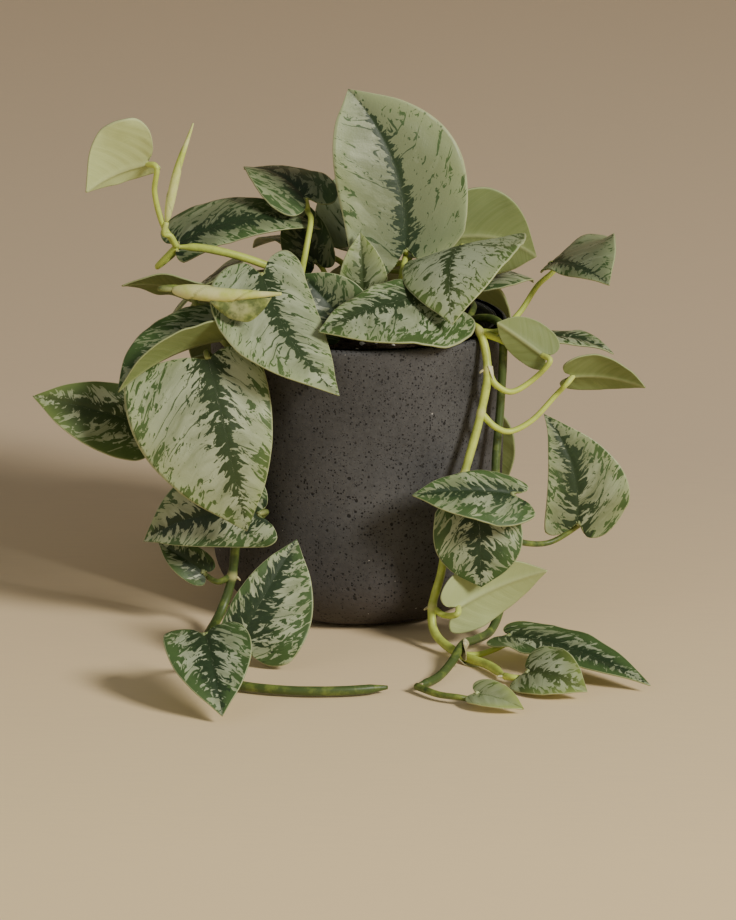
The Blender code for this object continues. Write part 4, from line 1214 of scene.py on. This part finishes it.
class POTHOS_OT_soil(bpy.types.Operator):
    """Fill the pot with crumbly soil and scatter loose crumbs and perlite on it"""

    bl_idname = "pothos.soil"
    bl_label = "Soil"

    def execute(self, context):
        look = settings().soil
        low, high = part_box("soil")
        reach = high[0]
        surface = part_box("pot")[1][2] - look.depth
        soil = add_grid("potting_soil", 150, 150)
        for vert in soil.data.vertices:
            x, y = vert.co.x, vert.co.y
            spot = Vector((x * math.sqrt(1 - y * y / 2), y * math.sqrt(1 - x * x / 2), 0)) * reach
            vert.co = spot
            vert.co.z = surface + self.lumps(spot, reach, look)
        mat = soil_material(look)
        soil.data.materials.append(mat)
        context.view_layer.objects.active = soil
        bpy.ops.object.mode_set(mode="EDIT")
        bpy.ops.mesh.select_all(action="SELECT")
        bpy.ops.mesh.region_to_loop()
        for depth, share in SOIL_STEPS:
            bpy.ops.mesh.extrude_region_move(
                TRANSFORM_OT_translate={"value": (0, 0, depth * (surface - low[2]))})
            bpy.ops.transform.resize(value=(share, share, 1.0))
        bpy.ops.mesh.edge_face_add()
        bpy.ops.mesh.select_all(action="SELECT")
        bpy.ops.mesh.normals_make_consistent(inside=False)
        bpy.ops.object.mode_set(mode="OBJECT")
        finish_piece(soil, ["soil"])
        self.scatter(look, reach, surface, mat)
        return {"FINISHED"}

    def lumps(self, spot, reach, look):
        """Height of the lumps at a spot, fading out at the wall."""
        fade = min(1.0, max(0.0, (reach - spot.length) / (WALL_FADE * MM)))
        broad = noise.noise(Vector((spot.x, spot.y, 0.134)) / (LUMP_WAVE * MM))
        fine = noise.fractal(spot / (CRUMB_WAVE * MM), 0.8, 2.0, 4)
        return fade * (look.lump * broad + CRUMB_HEIGHT * MM * fine)

    def scatter(self, look, reach, surface, mat):
        """Loose crumbs, and paler grains of perlite among them."""
        rng = random.Random(5)
        white = perlite_material(look)
        for name, pieces, size, mate in (
                ("soil_crumbs", look.crumbs, CRUMB_RADIUS, mat),
                ("perlite_grains", look.crumbs // 8, PERLITE_RADIUS, white)):
            crumbs = []
            for _ in range(pieces):
                turn, far = rng.uniform(0, 2 * math.pi), reach * 0.94 * math.sqrt(rng.random())
                spot = Vector((far * math.cos(turn), far * math.sin(turn), 0))
                spot.z = surface + self.lumps(spot, reach, look)
                radius = size * MM * rng.uniform(0.5, 1.3)
                deselect()
                bpy.ops.mesh.primitive_ico_sphere_add(subdivisions=2, radius=radius, location=spot)
                crumbs.append(bpy.context.object)
                for vert in bpy.context.object.data.vertices:
                    push = noise.noise(vert.co / (1.1 * MM) + spot * 900.0)
                    vert.co *= 1.0 + 0.45 * push
                    vert.co.z *= 0.75
            pile = join(crumbs)
            bpy.ops.object.transform_apply(location=True, rotation=True, scale=True)
            pile.name = name
            pile.data.materials.append(mate)
            finish_piece(pile, [])


class POTHOS_OT_stems(bpy.types.Operator):
    """Grow every stem with its rings and leaf stalks"""

    bl_idname = "pothos.stems"
    bl_label = "Stems"

    def execute(self, context):
        sizes = settings().stem
        mat = stem_material(sizes)
        for stem in STEMS:
            make_stem(stem, sizes, mat)
        return {"FINISHED"}


class POTHOS_OT_blades(bpy.types.Operator):
    """Shape every open leaf"""

    bl_idname = "pothos.blades"
    bl_label = "Leaf blades"

    def execute(self, context):
        sizes = settings().blade
        mats = (blade_top_material(sizes), blade_under_material(sizes))
        for number, leaf in enumerate(LEAVES):
            make_blade(leaf, number, LOOKS.get(leaf.name, Look()), sizes, mats)
        return {"FINISHED"}


class POTHOS_OT_rolled_leaves(bpy.types.Operator):
    """Roll the new leaves"""

    bl_idname = "pothos.rolled_leaves"
    bl_label = "Rolled leaves"

    def execute(self, context):
        mat = rolled_material(settings().stem)
        for roll in ROLLED_LEAVES:
            make_rolled_leaf(roll, mat)
        for flap in FLAPS:
            make_flap(flap, mat)
        return {"FINISHED"}


class POTHOS_OT_stage(bpy.types.Operator):
    """Lay the backdrop and set the lights and the camera"""

    bl_idname = "pothos.stage"
    bl_label = "Stage"

    def execute(self, context):
        look = settings().stage
        self.lay_backdrop(look)
        for name, place, size, power in (
                ("key_light", (2.6, -2.2, 2.2), 1.0, look.key),
                ("fill_light", (-2.8, -3.0, 1.8), 3.2, look.fill)):
            self.add_light(name, place, size, power)
        world = bpy.data.worlds.new("room")
        world.use_nodes = True
        backdrop = world.node_tree.nodes["Background"]
        backdrop.inputs[0].default_value = linear("#f1f0ec")
        backdrop.inputs[1].default_value = look.sky
        context.scene.world = world
        self.add_camera(context, look)
        return {"FINISHED"}

    def lay_backdrop(self, look):
        """A floor that rises in a wide curve behind the plant."""
        deselect()
        bpy.ops.mesh.primitive_plane_add(size=BACKDROP)
        sweep = bpy.context.object
        sweep.name = "backdrop"
        bpy.ops.object.transform_apply(location=True, rotation=True, scale=True)
        bpy.ops.object.mode_set(mode="EDIT")
        bpy.ops.mesh.select_mode(type="EDGE")
        pick(sweep.data, "edges", lambda ends: all(end.y > BACKDROP_BEHIND for end in ends))
        bpy.ops.mesh.extrude_region_move(
            TRANSFORM_OT_translate={"value": (0, 0, BACKDROP_HEIGHT)})
        pick(sweep.data, "edges", lambda ends: all(
            end.y > BACKDROP_BEHIND and end.z < 0.5 * BACKDROP_HEIGHT for end in ends))
        bpy.ops.mesh.bevel(offset=BACKDROP_CURVE, segments=16, affect="EDGES")
        bpy.ops.object.mode_set(mode="OBJECT")
        sweep.data.materials.append(backdrop_material(look))
        sweep.data.shade_smooth()

    def add_light(self, name, place, size, power):
        """A square soft box that looks at the plant, with places and sizes in metres."""
        deselect()
        toward = Vector((0, 0, 0.1)) - Vector(place)
        bpy.ops.object.light_add(
            type="AREA", location=place, rotation=toward.to_track_quat("-Z", "Y").to_euler())
        light = bpy.context.object
        light.name = name
        light.data.size = size
        light.data.energy = power
        light.data.color = linear("#fff9f1")[:3]

    def add_camera(self, context, look):
        """The camera of the reference view, 736 by 920."""
        back = Vector((0, -math.cos(look.lift), math.sin(look.lift)))
        side = Vector((1, 0, 0))
        right = side * math.cos(look.roll) - back.cross(side) * math.sin(look.roll)
        turn = Matrix((right, back.cross(right), back)).transposed()
        bpy.ops.object.camera_add(
            location=Vector(look.aim) + back * look.distance, rotation=turn.to_euler())
        camera = context.object
        camera.name = "camera"
        camera.data.lens = look.lens
        context.scene.camera = camera


OPERATORS = (
    POTHOS_OT_pot, POTHOS_OT_soil, POTHOS_OT_stems, POTHOS_OT_blades, POTHOS_OT_rolled_leaves,
    POTHOS_OT_stage,
)


class PothosSettings(bpy.types.PropertyGroup):
    """Everything that a user would change."""

    blade: bpy.props.PointerProperty(type=BladeSettings)
    stem: bpy.props.PointerProperty(type=StemSettings)
    pot: bpy.props.PointerProperty(type=PotSettings)
    soil: bpy.props.PointerProperty(type=SoilSettings)
    stage: bpy.props.PointerProperty(type=StageSettings)


class POTHOS_PT_panel(bpy.types.Panel):
    """Buttons for each group of pieces"""

    bl_label = "Satin pothos"
    bl_idname = "POTHOS_PT_panel"
    bl_space_type = "VIEW_3D"
    bl_region_type = "UI"
    bl_category = "Pothos"

    def draw(self, context):
        for operator in OPERATORS:
            self.layout.operator(operator.bl_idname)


CLASSES = (
    BladeSettings, StemSettings, PotSettings, SoilSettings, StageSettings, PothosSettings,
    *OPERATORS, POTHOS_PT_panel,
)


def register():
    """Add the classes and the settings."""
    for cls in CLASSES:
        bpy.utils.register_class(cls)
    bpy.types.Scene.pothos = bpy.props.PointerProperty(type=PothosSettings)


def unregister():
    """Take the classes and the settings away."""
    del bpy.types.Scene.pothos
    for cls in reversed(CLASSES):
        bpy.utils.unregister_class(cls)


def main():
    """Build every piece."""
    register()
    for operator in OPERATORS:
        group, name = operator.bl_idname.split(".")
        getattr(getattr(bpy.ops, group), name)()


if __name__ == "__main__":
    main()
